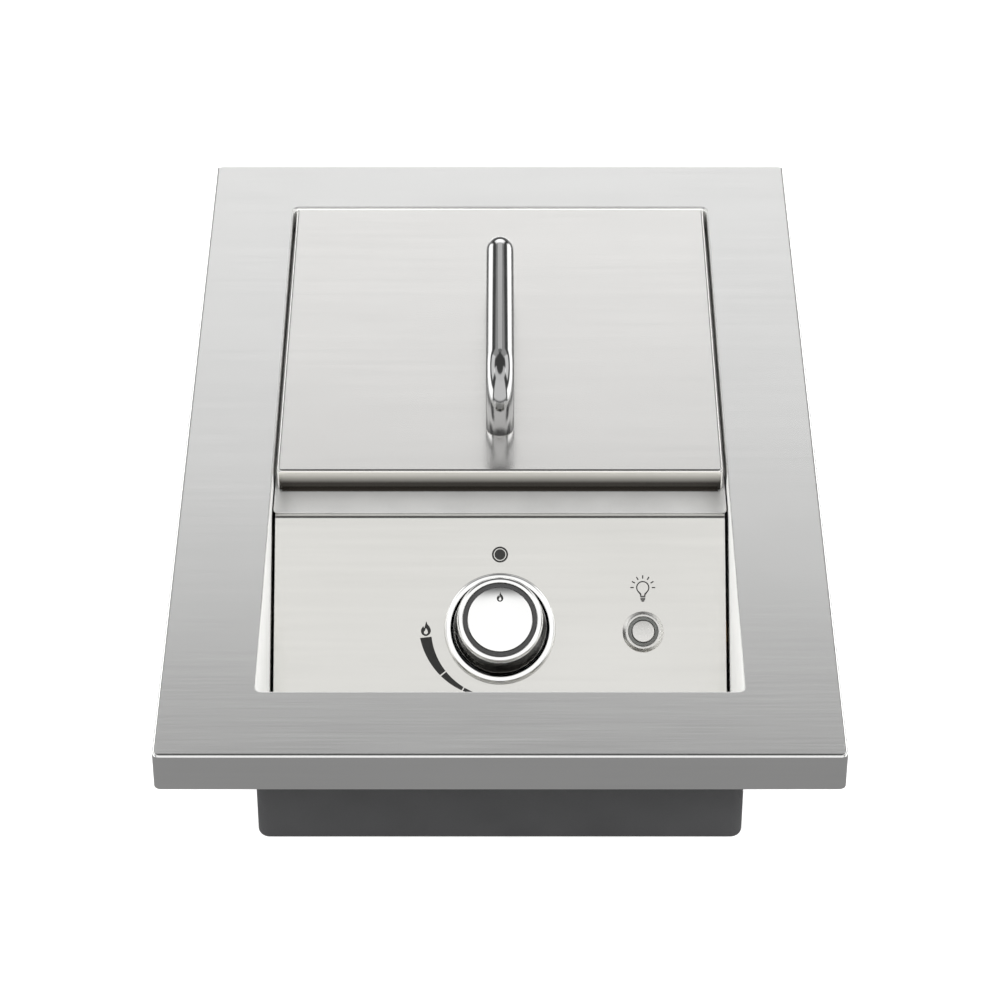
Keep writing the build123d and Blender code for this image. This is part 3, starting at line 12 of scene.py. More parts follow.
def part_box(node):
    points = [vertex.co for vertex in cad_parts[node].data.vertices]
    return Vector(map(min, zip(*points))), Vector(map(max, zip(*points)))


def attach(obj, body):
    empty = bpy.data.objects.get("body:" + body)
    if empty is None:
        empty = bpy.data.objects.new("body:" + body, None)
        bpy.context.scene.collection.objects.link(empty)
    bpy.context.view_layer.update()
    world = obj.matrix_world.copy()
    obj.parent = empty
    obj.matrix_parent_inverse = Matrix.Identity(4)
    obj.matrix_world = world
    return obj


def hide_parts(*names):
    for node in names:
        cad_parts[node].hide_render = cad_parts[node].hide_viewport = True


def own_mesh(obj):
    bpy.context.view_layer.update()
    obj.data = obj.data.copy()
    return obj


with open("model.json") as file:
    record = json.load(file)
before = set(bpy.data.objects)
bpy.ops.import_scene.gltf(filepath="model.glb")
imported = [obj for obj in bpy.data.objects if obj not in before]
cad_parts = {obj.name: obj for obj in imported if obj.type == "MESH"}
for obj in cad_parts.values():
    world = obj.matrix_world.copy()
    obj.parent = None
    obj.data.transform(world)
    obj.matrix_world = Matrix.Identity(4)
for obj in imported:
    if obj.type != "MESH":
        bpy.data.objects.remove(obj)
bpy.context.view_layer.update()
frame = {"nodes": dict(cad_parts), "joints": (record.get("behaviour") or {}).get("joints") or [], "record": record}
joints = {joint["name"]: joint for joint in frame["joints"]}
slot_of_node = {row["node"]: row["material_slot"] for row in frame["record"]["subparts"]}
scene = bpy.context.scene

MM = 0.001

# The photograph's camera, found from the frame's edges: focal length, pitch below the horizon, place, and the
# nearest and farthest distance that it shows
PHOTO_WIDTH_PX, PHOTO_FOCAL_PX, SENSOR_MM = 1000, 3746, 36.0
CAMERA_PITCH_DEGREES = 37.5
CAMERA_PLACE_M, CAMERA_RANGE_M = (0.0, -1.8081, 1.4424), (0.01, 100.0)


def linear(hex_colour):
    """An sRGB hex colour as linear red, green, blue and alpha."""
    channels = [int(hex_colour[i:i + 2], 16) / 255 for i in (1, 3, 5)]
    return [c / 12.92 if c <= 0.04045 else ((c + 0.055) / 1.055) ** 2.4 for c in channels] + [1.0]


def add_node(tree, kind, inputs=None, **settings):
    """Add a node with its settings. Each input takes a value, or a link when given a socket or a node,
    whose first output is then the one linked."""
    made = tree.nodes.new(kind)
    for key, value in settings.items():
        setattr(made, key, value)
    for key, value in (inputs or {}).items():
        if isinstance(value, bpy.types.Node):
            value = value.outputs[0]
        if isinstance(value, bpy.types.NodeSocket):
            tree.links.new(value, made.inputs[key])
        else:
            made.inputs[key].default_value = value
    return made


# Materials. Sizes are in millimetres on the object. Noise keeps mostly within its span, which is spread
# over the whole range of a colour or a roughness
NOISE_SPAN, FULL_SPAN = {"From Min": 0.3, "From Max": 0.7}, {"From Min": 0.0, "From Max": 1.0}


def new_material(name):
    """An empty material with its node tree and the object's own coordinates in metres."""
    material = bpy.data.materials.new(name)
    material.use_nodes = True
    tree = material.node_tree
    tree.nodes.clear()
    return material, tree, add_node(tree, "ShaderNodeTexCoord").outputs["Object"]


def mottle(tree, place, size_mm, detail=2.0, roughness=0.5):
    """Cloudy variation whose patches measure size_mm along X, Y and Z."""
    scale = [1 / (size * MM) for size in size_mm]
    mapped = add_node(tree, "ShaderNodeMapping", {"Vector": place, "Scale": scale})
    return add_node(tree, "ShaderNodeTexNoise", {"Vector": mapped, "Scale": 1.0, "Detail": detail,
                                                 "Roughness": roughness})


def two_tone(tree, amount, dark, light, span=NOISE_SPAN):
    """A colour that runs from dark to light as the amount runs over its span."""
    share = add_node(tree, "ShaderNodeMapRange", {"Value": amount, **span})
    mix = add_node(tree, "ShaderNodeMix", {0: share, 6: linear(dark), 7: linear(light)}, data_type="RGBA")
    return mix.outputs[2]


def finish_surface(tree, inputs, wear=None, rough=None, relief=None, depth_mm=0.0):
    """The surface shader. With wear, the roughness runs over the pair rough; a relief is depth_mm high."""
    if wear is not None:
        inputs["Roughness"] = add_node(tree, "ShaderNodeMapRange", {
            "Value": wear, **NOISE_SPAN, "To Min": rough[0], "To Max": rough[1]})
    if relief is not None:
        inputs["Normal"] = add_node(tree, "ShaderNodeBump", {
            "Height": relief, "Strength": 1.0, "Distance": depth_mm * MM})
    surface = add_node(tree, "ShaderNodeBsdfPrincipled", inputs)
    add_node(tree, "ShaderNodeOutputMaterial", {"Surface": surface})


# Brushed sheet: the real scratches are finer than a tenth of a millimetre, and are drawn coarser so that
# they show
BRUSHED_ROUGH = (0.16, 0.24)
SCRATCH_MM, SCRATCH_DEPTH_MM = (70.0, 0.7, 0.7), 0.0011
CLOUD_MM, STREAK_MM = (90.0, 45.0, 45.0), (160.0, 5.0, 5.0)
BRUSHED_SPAN = {"From Min": 1.1, "From Max": 1.9}

# The lid's front lip: how far its face reaches back, and the shares of its height where the painted shade at
# its foot is full and gone
LIP_PALE, LIP_SMOKE, LIP_METALLIC = "#B2B0AA", "#272420", 0.5
LIP_DEPTH_MM, LIP_EDGE_MM, LIP_SMOKE_SHARES = 2.2, 0.2, (0.36, 0.88)


def smoked_lip(tree, place, sheet_colour):
    """Colour and metallic of the lid's lip: sheet behind its face, paler on it, and painted shade at its foot."""
    low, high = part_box("lid")
    smoke_full, smoke_gone = (low[2] + share * (high[2] - low[2]) for share in LIP_SMOKE_SHARES)
    face_back = low[1] + LIP_DEPTH_MM * MM
    split = add_node(tree, "ShaderNodeSeparateXYZ", {"Vector": place})
    on_face = add_node(tree, "ShaderNodeMapRange", {
        "Value": split.outputs["Y"], "From Min": face_back, "From Max": face_back + LIP_EDGE_MM * MM,
        "To Min": 1.0, "To Max": 0.0})
    at_foot = add_node(tree, "ShaderNodeMapRange", {
        "Value": split.outputs["Z"], "From Min": smoke_full, "From Max": smoke_gone,
        "To Min": 1.0, "To Max": 0.0})
    # Painted shade: full at the foot of the lip's face, gone higher up
    smoked = add_node(tree, "ShaderNodeMath", {0: at_foot, 1: on_face}, operation="MULTIPLY")
    pale = add_node(tree, "ShaderNodeMix", {0: on_face, 6: sheet_colour, 7: linear(LIP_PALE)},
                    data_type="RGBA").outputs[2]
    colour = add_node(tree, "ShaderNodeMix", {0: smoked, 6: pale, 7: linear(LIP_SMOKE)},
                      data_type="RGBA").outputs[2]
    metallic = add_node(tree, "ShaderNodeMapRange", {"Value": on_face, "To Min": 1.0, "To Max": LIP_METALLIC})
    return colour, metallic


def brushed_sheet(name, dark, light, lip=False):
    """Stainless sheet brushed across its width: long scratches along X, and faint clouds and streaks where
    the belt pressed harder. The lid's sheet also has its lip, with painted shade at its foot."""
    material, tree, place = new_material(name)
    scratches = mottle(tree, place, SCRATCH_MM, detail=3.0, roughness=0.65)
    clouds, streaks = mottle(tree, place, CLOUD_MM), mottle(tree, place, STREAK_MM)
    tone = add_node(tree, "ShaderNodeMath", {0: clouds, 1: streaks}, operation="ADD")
    tone = add_node(tree, "ShaderNodeMath", {0: tone, 1: scratches}, operation="ADD")
    colour, metallic = two_tone(tree, tone, dark, light, BRUSHED_SPAN), 1.0
    # The lid's lip, with painted shade at its foot
    if lip:
        colour, metallic = smoked_lip(tree, place, colour)
    finish_surface(tree, {"Base Color": colour, "Metallic": metallic}, scratches, BRUSHED_ROUGH, scratches,
                   SCRATCH_DEPTH_MM)
    return material


WIPE_MM, WIPE_ROUGH = (25.0, 18.0, 18.0), 0.03


def polished_metal(name, tone, rough):
    """Polished or plated metal: a mirror with faint wipe marks."""
    material, tree, place = new_material(name)
    wipes = mottle(tree, place, WIPE_MM, detail=3.0)
    finish_surface(tree, {"Base Color": linear(tone), "Metallic": 1.0}, wipes, (rough, rough + WIPE_ROUGH))
    return material


# Through the casing's vents the liner's outer faces look dark: painted shade darkens them within this skin
LINER_BACK, LINER_SKIN_MM = "#2A2A29", 0.3


def outer_side(tree, place, node_name):
    """1 on the outer faces of an upright liner, found from its box, and 0 on its inner ones."""
    low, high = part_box(node_name)
    split = add_node(tree, "ShaderNodeSeparateXYZ", {"Vector": place})
    past = []
    for axis in (0, 1):
        middle, half = (low[axis] + high[axis]) / 2, (high[axis] - low[axis]) / 2
        offset = add_node(tree, "ShaderNodeMath", {0: split.outputs[axis], 1: middle}, operation="SUBTRACT")
        distance = add_node(tree, "ShaderNodeMath", {0: offset}, operation="ABSOLUTE")
        past.append(add_node(tree, "ShaderNodeMath", {0: distance, 1: half - LINER_SKIN_MM * MM},
                             operation="SUBTRACT"))
    furthest = add_node(tree, "ShaderNodeMath", {0: past[0], 1: past[1]}, operation="MAXIMUM")
    return add_node(tree, "ShaderNodeMapRange", {"Value": furthest, "From Max": LINER_SKIN_MM * MM / 2})


METAL_SPREAD, METAL_BLOTCH_MM = (-0.05, 0.08), 28.0


def plain_metal(name, dark, light, rough, grain_mm=2.0, depth_mm=0.01, metallic=1.0, liner=None):
    """Mill-finish, plated or cast metal: mottled at the size of its grain, without a direction. Given a
    liner's node, its outer faces are darkened with painted shade."""
    material, tree, place = new_material(name)
    grain = mottle(tree, place, (grain_mm,) * 3, detail=4.0, roughness=0.6)
    colour = two_tone(tree, mottle(tree, place, (METAL_BLOTCH_MM,) * 3), dark, light)
    if liner:
        # Painted shade on the liner's outer faces
        outside = outer_side(tree, place, liner)
        colour = add_node(tree, "ShaderNodeMix", {0: outside, 6: colour, 7: linear(LINER_BACK)},
                          data_type="RGBA").outputs[2]
    finish_surface(tree, {"Base Color": colour, "Metallic": metallic}, grain,
                   [rough + spread for spread in METAL_SPREAD], grain, depth_mm)
    return material


COATED_SPREAD, COATED_PATCH_MM = (-0.05, 0.05), 40.0


def coated(name, dark, light, rough, grain_mm=0.9, depth_mm=0.02, coat=0.0):
    """Powder coat, moulding, glaze or rubber: a fine even texture over a solid colour."""
    material, tree, place = new_material(name)
    grain = mottle(tree, place, (grain_mm,) * 3)
    colour = two_tone(tree, mottle(tree, place, (COATED_PATCH_MM,) * 3), dark, light)
    finish_surface(tree, {"Base Color": colour, "Metallic": 0.0, "Coat Weight": coat}, grain,
                   [rough + spread for spread in COATED_SPREAD], grain, depth_mm)
    return material


# Tile: the real 1.2 mm flame holes stand 2 mm apart, and are drawn coarser so that they show between the
# bars. The hole's edge lies between two shares of the pitch from its centre
TILE_PITCH_MM, TILE_PIT_MM, TILE_PATCH_MM, TILE_ROUGH = 2.6, 0.3, 30.0, 0.9
TILE_HOLE_SPAN = {"From Min": 0.24, "From Max": 0.32}


def perforated_tile(name, dark, light, hole):
    """Fired ceramic, chalky and matt, with straight rows of flame holes: dots of painted shade in shallow pits."""
    material, tree, place = new_material(name)
    clay = two_tone(tree, mottle(tree, place, (TILE_PATCH_MM,) * 3), dark, light)
    from_hole = add_node(tree, "ShaderNodeTexVoronoi", {
        "Vector": place, "Scale": 1 / (TILE_PITCH_MM * MM), "Randomness": 0.0}, voronoi_dimensions="2D")
    solid = add_node(tree, "ShaderNodeMapRange", {"Value": from_hole.outputs["Distance"], **TILE_HOLE_SPAN})
    # The holes: dots of painted shade, the dark that lies in them
    pierced = add_node(tree, "ShaderNodeMix", {0: solid, 6: linear(hole), 7: clay}, data_type="RGBA")
    finish_surface(tree, {"Base Color": pierced.outputs[2], "Metallic": 0.0, "Roughness": TILE_ROUGH},
                   relief=solid, depth_mm=TILE_PIT_MM)
    return material


# The knob's flank carries a painted dark reflection between two heights above the panel, each blurred a little
CHROME, FLANK_DARK = "#FBFBFA", "#4A4A4A"
FLANK_FROM_MM, FLANK_TO_MM, FLANK_BLUR_MM = 8.4, 30.6, 0.2
KNOB_WIPE_MM, KNOB_ROUGH = (20.0, 20.0, 20.0), (0.07, 0.11)


def knob_plate():
    """The knob's plating: bright on its face and foot, and a painted dark reflection in the hollow of the flank
    between its two heights, which are measured along the knob's axis."""
    material, tree, place = new_material("chrome plate with a painted dark reflection on its flank")
    origin, axis = joints["knob_turn"]["pos_m"], joints["knob_turn"]["axis"]
    offset = add_node(tree, "ShaderNodeVectorMath", {0: place, 1: origin}, operation="SUBTRACT")
    height = add_node(tree, "ShaderNodeVectorMath", {0: offset, 1: axis}, operation="DOT_PRODUCT")
    flank = 1.0
    for edge, rises in ((FLANK_FROM_MM, 1), (FLANK_TO_MM, 0)):
        step = add_node(tree, "ShaderNodeMapRange", {
            "Value": height.outputs["Value"], "From Min": (edge - FLANK_BLUR_MM) * MM,
            "From Max": (edge + FLANK_BLUR_MM) * MM, "To Min": 1 - rises, "To Max": rises})
        flank = add_node(tree, "ShaderNodeMath", {0: step, 1: flank}, operation="MULTIPLY")
    # The flank's band: a painted dark reflection in the chrome
    colour = two_tone(tree, flank, CHROME, FLANK_DARK, FULL_SPAN)
    wipes = mottle(tree, place, KNOB_WIPE_MM, detail=3.0)
    finish_surface(tree, {"Base Color": colour, "Metallic": 1.0}, wipes, KNOB_ROUGH)
    return material


# Each record slot's finish, and what it gives the eye
FINISHES = {
    # Rolled sheet brushed on a belt: satin grey, with each highlight drawn out across faint scratches
    "brushed_stainless": brushed_sheet("brushed 304 stainless", "#E4E4E3", "#E9E9E8"),
    # Powder baked on folded sheet: an even dark grey that hardly shines
    "casing_coat": coated("satin powder coat", "#313132", "#363637", 0.5),
    # Pressed tub blasted with glass beads: pale and soft, the same from every side
    "tub_stainless": plain_metal("bead blasted stainless", "#D0D0CF", "#D9D9D8", 0.42, metallic=0.75),
    # Drawn and polished rod: a narrow bright line along each bar of the grid
    "grid_steel": plain_metal("polished rod steel", "#B4B3B0", "#C6C5C2", 0.2, grain_mm=6.0, depth_mm=0.002),
    # Pressed sheet tinted by heat: dull, a little brown
    "burner_steel": plain_metal("dull pressed steel", "#9C958B", "#AFA9A0", 0.48),
    # Zinc plated strip: cool grey with a faint spangle
    "zinc_sheet": plain_metal("zinc plated sheet", "#AEB3B7", "#BFC3C6", 0.36, grain_mm=4.0),
    # Pressed and fired cordierite: chalky cream, dotted with flame holes drawn in painted shade
    "tile_ceramic": perforated_tile("pressed cordierite ceramic", "#D8CFB6", "#E4DCC4", "#5A5145"),
    # Felted ceramic fibre: white and quite matt, a little woolly
    "gasket_fibre": coated("pressed ceramic fibre", "#DEDBD2", "#E6E4DD", 0.95, grain_mm=1.0, depth_mm=0.1),
    # Turned brass bar: warm yellow with soft highlights
    "valve_brass": plain_metal("machined brass", "#C29C55", "#CFAA62", 0.3, grain_mm=1.0, depth_mm=0.001,
                               metallic=0.85),
    # Zinc plated turned parts: cool grey, brighter than the plated sheet
    "valve_zinc": plain_metal("zinc plated fitting", "#AEB3B7", "#BFC3C6", 0.3, grain_mm=1.0, depth_mm=0.003),
    # Drawn tube: pale grey with a slight sheen
    "pipe_aluminium": plain_metal("drawn aluminium", "#B9BBBD", "#C4C6C8", 0.34, grain_mm=1.5,
                                  depth_mm=0.004),
    # Bar buffed to a mirror: light and dark bands that run along the handle
    "polished_bar": polished_metal("mirror polished stainless", "#B2B2B2", 0.1),
    # Bright chrome over nickel: the clearest mirror on the burner
    "bezel_chrome": polished_metal("bright chrome plate", CHROME, 0.06),
    # Satin chrome: a mirror softened a little
    "knob_chrome": polished_metal("satin chrome plate", CHROME, 0.1),
    # Satin nickel: close to the panel in tone, so that only its rims stand out
    "switch_satin": plain_metal("satin nickel plate", "#DBDAD7", "#E2E1DE", 0.28, grain_mm=1.0,
                                depth_mm=0.0007),
    # Moulded ABS with a spark-eroded texture: black without a highlight
    "ring_black": coated("matt moulded ABS", "#242424", "#2A2A2A", 0.45, grain_mm=0.5, depth_mm=0.01),
    # Smoked light guide, unlit: dark grey and smooth
    "light_ring": coated("smoked polycarbonate", "#454644", "#4B4C4A", 0.4, grain_mm=3.0, depth_mm=0.002),
    # Moulded nylon: nearly black, lightly textured
    "electric_black": coated("moulded nylon", "#1F1F20", "#242425", 0.5),
    # Glazed alumina: glossy off-white
    "insulator": coated("glazed alumina", "#EBE8DE", "#F0EEE6", 0.18, grain_mm=4.0, depth_mm=0.003, coat=0.5),
    # Wire oxidised in the flame: dark brown grey
    "spark_wire": plain_metal("heat darkened wire", "#4E4842", "#5D5650", 0.45, grain_mm=0.8),
    # Extruded silicone: black with a soft sheen
    "lead_rubber": coated("silicone sleeve", "#1A1A1B", "#202021", 0.55, grain_mm=0.8, depth_mm=0.01),
    # Cold-headed stainless: small heads a shade darker than the sheet
    "screw_steel": plain_metal("stainless fastener", "#B9B8B5", "#CBCAC7", 0.26, grain_mm=0.8,
                               depth_mm=0.003),
}
# Chrome with a painted dark reflection in the flank's hollow, as in the photograph: it sets the bright face off
# from its foot
KNOB_PLATE = knob_plate()
# Nodes that look different from the rest of their slot
NODE_FINISHES = {
    # The same brushed sheet, a touch warmer, its lip pale above with painted shade below
    "lid": brushed_sheet("brushed 304 stainless with painted shade at its lip", "#E9E8E6", "#EEEDEB", lip=True),
    # The same sheet, a little darker and warmer than the frame: the signs stand out on it
    "control_panel": brushed_sheet("fine brushed 304 stainless", "#DAD9D5", "#DFDEDA"),
    # Pickled sheet: the well's walls are white and matt, with hardly any reflection, and painted shade outside
    "frame_collar": plain_metal("pickled stainless liner with painted shade outside", "#DEDEDC", "#E4E4E2", 0.5, grain_mm=1.5,
                                depth_mm=0.002, metallic=0.1, liner="frame_collar"),
}
# Screen printed ink: flat near-black signs with crisp edges
PRINT_INK = coated("screen printed ink", "#161615", "#1B1B1A", 0.5, grain_mm=0.6, depth_mm=0.004)

for node_name, cad_object in frame["nodes"].items():
    cad_object.data.materials.clear()
    cad_object.data.materials.append(NODE_FINISHES.get(node_name, FINISHES[slot_of_node[node_name]]))


# New pieces
def link_piece(name, mesh, material, body):
    """Put a finished mesh in the scene as a piece that rides on a body."""
    piece = bpy.data.objects.new(name, mesh)
    scene.collection.objects.link(piece)
    mesh.materials.append(material)
    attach(piece, body)
    return piece


MERGE_DISTANCE_M = 1e-7


def closed_mesh(name, points, sharp_degrees=60.0):
    """A closed skin over a grid of points [rows, columns, 3]: each row is a ring, the rows follow one
    another, and the first and last rows are closed by their own ring or meet at a pole. Doubles are merged,
    faces turned out."""
    rows, columns, _ = points.shape
    index = np.arange(rows * columns).reshape(rows, columns)
    here, right = index[:-1], np.roll(index, -1, axis=1)[:-1]
    above, above_right = index[1:], np.roll(index, -1, axis=1)[1:]
    quads = np.stack([here, right, above_right, above], axis=-1).reshape(-1, 4)
    mesh = bpy.data.meshes.new(name)
    mesh.from_pydata(points.reshape(-1, 3).tolist(), [], quads.tolist())
    shape = bmesh.new()
    shape.from_mesh(mesh)
    bmesh.ops.remove_doubles(shape, verts=shape.verts, dist=MERGE_DISTANCE_M)
    open_edges = [edge for edge in shape.edges if edge.is_boundary]
    if open_edges:
        bmesh.ops.holes_fill(shape, edges=open_edges, sides=0)
    bmesh.ops.recalc_face_normals(shape, faces=shape.faces)
    shape.to_mesh(mesh)
    shape.free()
    mesh.polygons.foreach_set("use_smooth", [True] * len(mesh.polygons))
    mesh.set_sharp_from_angle(angle=math.radians(sharp_degrees))
    return mesh


def rounded_profile(corners, steps=6):
    """Points (radius, height) in millimetres along corners (radius, height, bend): each bend is an arc
    tangent to the two runs that meet there, sampled in equal turns."""
    corners = np.array(corners, dtype=float)
    points = []
    for before, corner, after in zip(np.roll(corners, 1, axis=0), corners, np.roll(corners, -1, axis=0)):
        bend = corner[2]
        if bend == 0:
            points.append(corner[None, :2])
            continue
        back = (before - corner)[:2] / np.linalg.norm((before - corner)[:2])
        ahead = (after - corner)[:2] / np.linalg.norm((after - corner)[:2])
        half = math.acos(np.clip(back @ ahead, -1, 1)) / 2
        middle = (back + ahead) / np.linalg.norm(back + ahead)
        centre = corner[:2] + middle * bend / math.sin(half)
        first = corner[:2] + back * bend / math.tan(half) - centre
        last = corner[:2] + ahead * bend / math.tan(half) - centre
        turn = math.atan2(first[0] * last[1] - first[1] * last[0], first @ last)
        angles = np.linspace(0, turn, steps + 1)[:, None]
        side = np.array([-first[1], first[0]])
        points.append(centre + first * np.cos(angles) + side * np.sin(angles))
    return np.concatenate(points)


def carried(points, place):
    """Points, as an array whose last axis is x, y and z, moved and turned to a place."""
    matrix = np.array(place)
    return points @ matrix[:3, :3].T + matrix[:3, 3]


def turned(name, profile, place, around=160):
    """A turned form: the profile (radius, height) carried round the place's z axis, point = r cos a, r sin
    a, h."""
    angles = np.linspace(0, 2 * math.pi, around, endpoint=False)
    radius, height = profile[:, 0, None] * MM, profile[:, 1, None] * MM
    local = np.stack([radius * np.cos(angles), radius * np.sin(angles), height + 0 * angles], axis=-1)
    return closed_mesh(name, carried(local, place), sharp_degrees=35.0)


def turned_node(name, corners, place, material, body, node_name, ring=True):
    """A turned piece that stands for a node. A ring's profile is a loop that ends where it starts, and any
    other starts and ends on the axis."""
    profile = rounded_profile(corners)
    if ring:
        profile = np.concatenate([profile, profile[:1]])
    piece = link_piece(name, turned(name, profile, place), material, body)
    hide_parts(node_name)


def place_on_axis(origin, axis):
    """A frame at the origin: z runs along the axis, x is the object's X, and y points up the slope."""
    out = Vector(axis).normalized()
    right = Vector((1, 0, 0))
    matrix = Matrix((right, out.cross(right), out)).transposed().to_4x4()
    matrix.translation = Vector(origin)
    return matrix


knob_place = place_on_axis(joints["knob_turn"]["pos_m"], joints["knob_turn"]["axis"])


def switch_on_panel():
    """The switch's frame: the middle of the button's box, carried down to the plane of the knob's foot."""
    low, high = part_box("switch_button")
    middle = (Vector(low) + Vector(high)) / 2
    normal = knob_place.to_3x3().col[2]
    foot = middle - normal * (middle - knob_place.translation).dot(normal)
    return place_on_axis(foot, joints["knob_turn"]["axis"])


switch_place = switch_on_panel()

# Handle: a round bar bent to a U, carried along straight legs and quarter turns
HANDLE_BEND_MM, HANDLE_EDGE_MM = 20.0, 0.5
BEND_STEPS, BAR_STEPS = 25, 96


def handle_mesh():
    """Rings of radius r about the centre line of the U, which is two legs, two quarter turns and a top run;
    the ring lies across the line's direction, so a point is centre + r cos a * X + r sin a * (X cross
    direction)."""
    low, high = (np.array(corner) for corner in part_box("lid_handle"))
    radius = (high[0] - low[0]) / 2
    middle_x, foot_z, top_z = (high[0] + low[0]) / 2, low[2], high[2] - radius
    front, back, bend, edge = low[1] + radius, high[1] - radius, HANDLE_BEND_MM * MM, HANDLE_EDGE_MM * MM
    quarter = np.linspace(0, math.pi / 2, BEND_STEPS)
    first = np.stack([front + bend - bend * np.cos(quarter), top_z - bend + bend * np.sin(quarter)], axis=-1)
    second = np.stack([back - bend + bend * np.sin(quarter), top_z - bend + bend * np.cos(quarter)], axis=-1)
    legs = np.array([[front, foot_z], [front, foot_z], [front, foot_z + edge]])
    line = np.concatenate([legs, first, second, [[back, foot_z + edge], [back, foot_z], [back, foot_z]]])
    radii = np.full(len(line), radius)
    radii[[0, -1]], radii[[1, -2]] = 0.0, radius - edge
    direction = np.gradient(line, axis=0)
    direction[:3], direction[-3:] = [0, 1], [0, -1]
    direction /= np.linalg.norm(direction, axis=1)[:, None]
    angles = np.linspace(0, 2 * math.pi, BAR_STEPS, endpoint=False)
    across = radii[:, None] * np.sin(angles)
    return closed_mesh("lid_handle_bar", np.stack([
        middle_x + radii[:, None] * np.cos(angles), line[:, 0, None] - across * direction[:, 1, None],
        line[:, 1, None] + across * direction[:, 0, None]], axis=-1))


handle_bar = link_piece("handle_bar", handle_mesh(), FINISHES["polished_bar"], "lid")
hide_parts("lid_handle")

# Knob: the shell's flank is hollow towards the waist, its face has a groove for the black ring and the cap
KNOB_SHELL = [(27.0, 7.0, 0.4), (27.0, 8.2, 0.5), (25.2, 11.5, 8.0), (22.4, 20.0, 30.0), (22.8, 30.5, 1.2),
              (24.85, 31.6, 0.8), (24.85, 36.0, 1.6), (21.5, 36.0, 0.5), (21.5, 33.0, 0.0), (0.0, 33.0, 0.0),
              (0.0, 15.3, 0.0), (8.0, 15.3, 0.3), (8.0, 28.0, 0.3), (20.0, 28.0, 0.5), (20.0, 21.0, 4.0),
              (24.5, 7.0, 0.3)]
KNOB_RING = [(21.4, 33.1, 0.0), (21.4, 35.1, 0.4), (18.75, 35.1, 0.4), (18.75, 33.1, 0.0)]
KNOB_CAP = [(0.0, 33.0, 0.0), (18.65, 33.0, 0.0), (18.65, 36.0, 0.3), (10.0, 36.28, 12.0), (0.0, 36.3, 0.0)]
turned_node("knob_shell", KNOB_SHELL, knob_place, KNOB_PLATE, "knob", "control_knob")
turned_node("knob_inlay", KNOB_RING, knob_place, FINISHES["ring_black"], "knob", "knob_ring")
turned_node("knob_face", KNOB_CAP, knob_place, FINISHES["knob_chrome"], "knob", "knob_cap",
            ring=False)

# Return spring round the spindle, from the valve's neck to the collar
SPRING_RADIUS_MM, SPRING_WIRE_MM, SPRING_TURNS = 5.5, 0.4, 3
SPRING_FOOT_MM, SPRING_HEIGHT_MM, SPRING_KEEP = 5.5, 7.3, 0.56
TURN_STEPS, WIRE_STEPS = 48, 16


def spring_mesh():
    """A wire of radius w round the helix (R cos t, R sin t, climb t): each ring lies across the wire, a
    point being centre + w cos a * outward + w sin a * (direction x outward), and both ends close on their
    centres."""
    climb = (SPRING_HEIGHT_MM - 2 * SPRING_WIRE_MM) / (2 * math.pi * SPRING_TURNS)
    t = np.linspace(0, 2 * math.pi * SPRING_TURNS, TURN_STEPS * SPRING_TURNS + 1)
    t = np.concatenate([t[:1], t, t[-1:]])
    wire = np.full(len(t), SPRING_WIRE_MM)
    wire[[0, -1]] = 0.0
    outward = np.stack([np.cos(t), np.sin(t), 0 * t], axis=-1)
    along = np.stack([-SPRING_RADIUS_MM * np.sin(t), SPRING_RADIUS_MM * np.cos(t), climb + 0 * t], axis=-1)
    along /= np.linalg.norm(along, axis=1)[:, None]
    centre = outward * SPRING_RADIUS_MM
    centre[:, 2] = SPRING_FOOT_MM + SPRING_WIRE_MM + climb * t
    a = np.linspace(0, 2 * math.pi, WIRE_STEPS, endpoint=False)
    ring = outward[:, None] * np.cos(a)[:, None] + np.cross(along, outward)[:, None] * np.sin(a)[:, None]
    points = (centre[:, None] + wire[:, None, None] * ring) * MM
    return closed_mesh("return_spring", carried(points, knob_place))


spring_slot = slot_of_node["spindle_spring"]
spring_piece = link_piece("return_spring", spring_mesh(), FINISHES[spring_slot], "housing")
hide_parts("spindle_spring")
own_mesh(spring_piece)

# Bezel under the knob: a rolled rim round a dished floor
BEZEL = [(7.3, 0.2, 0.0), (28.3, 0.2, 0.0), (28.3, 1.4, 0.0), (32.5, 1.4, 0.3), (32.5, 4.0, 1.2),
         (31.4, 4.9, 0.8), (28.7, 5.0, 0.5), (27.5, 1.1, 0.4), (7.3, 1.1, 0.0)]
turned_node("bezel_dish", BEZEL, knob_place, FINISHES["bezel_chrome"], "housing",
            "knob_bezel")

# Switch: a flanged barrel, a smoked ring and a flat button
SWITCH_BARREL = [(3.6, -17.0, 0.0), (9.4, -17.0, 0.3), (9.4, 0.2, 0.0), (12.0, 0.2, 0.0), (12.0, 1.2, 0.6),
                 (10.2, 2.4, 1.0), (8.8, 2.4, 0.3), (8.8, -4.0, 0.0), (3.6, -4.0, 0.0)]
SWITCH_RING = [(6.8, 0.2, 0.0), (8.7, 0.2, 0.0), (8.7, 2.2, 0.3), (6.8, 2.2, 0.3)]
SWITCH_BUTTON = [(0.0, -12.0, 0.0), (3.5, -12.0, 0.2), (3.5, -1.0, 0.0), (6.45, -1.0, 0.2), (6.45, 2.7, 0.4),
                 (0.0, 2.7, 0.0)]
turned_node("switch_body", SWITCH_BARREL, switch_place, FINISHES["switch_satin"], "housing",
            "switch_barrel")
turned_node("switch_glow_ring", SWITCH_RING, switch_place, FINISHES["light_ring"], "housing",
            "switch_light_ring")
turned_node("switch_face", SWITCH_BUTTON, switch_place, FINISHES["switch_satin"], "button",
            "switch_button", ring=False)

# Signs printed on the panel and the knob: outlines in millimetres, x to the right and y up the slope
INK_THICKNESS_MM, INK_LIFT_MM = 0.06, 0.01


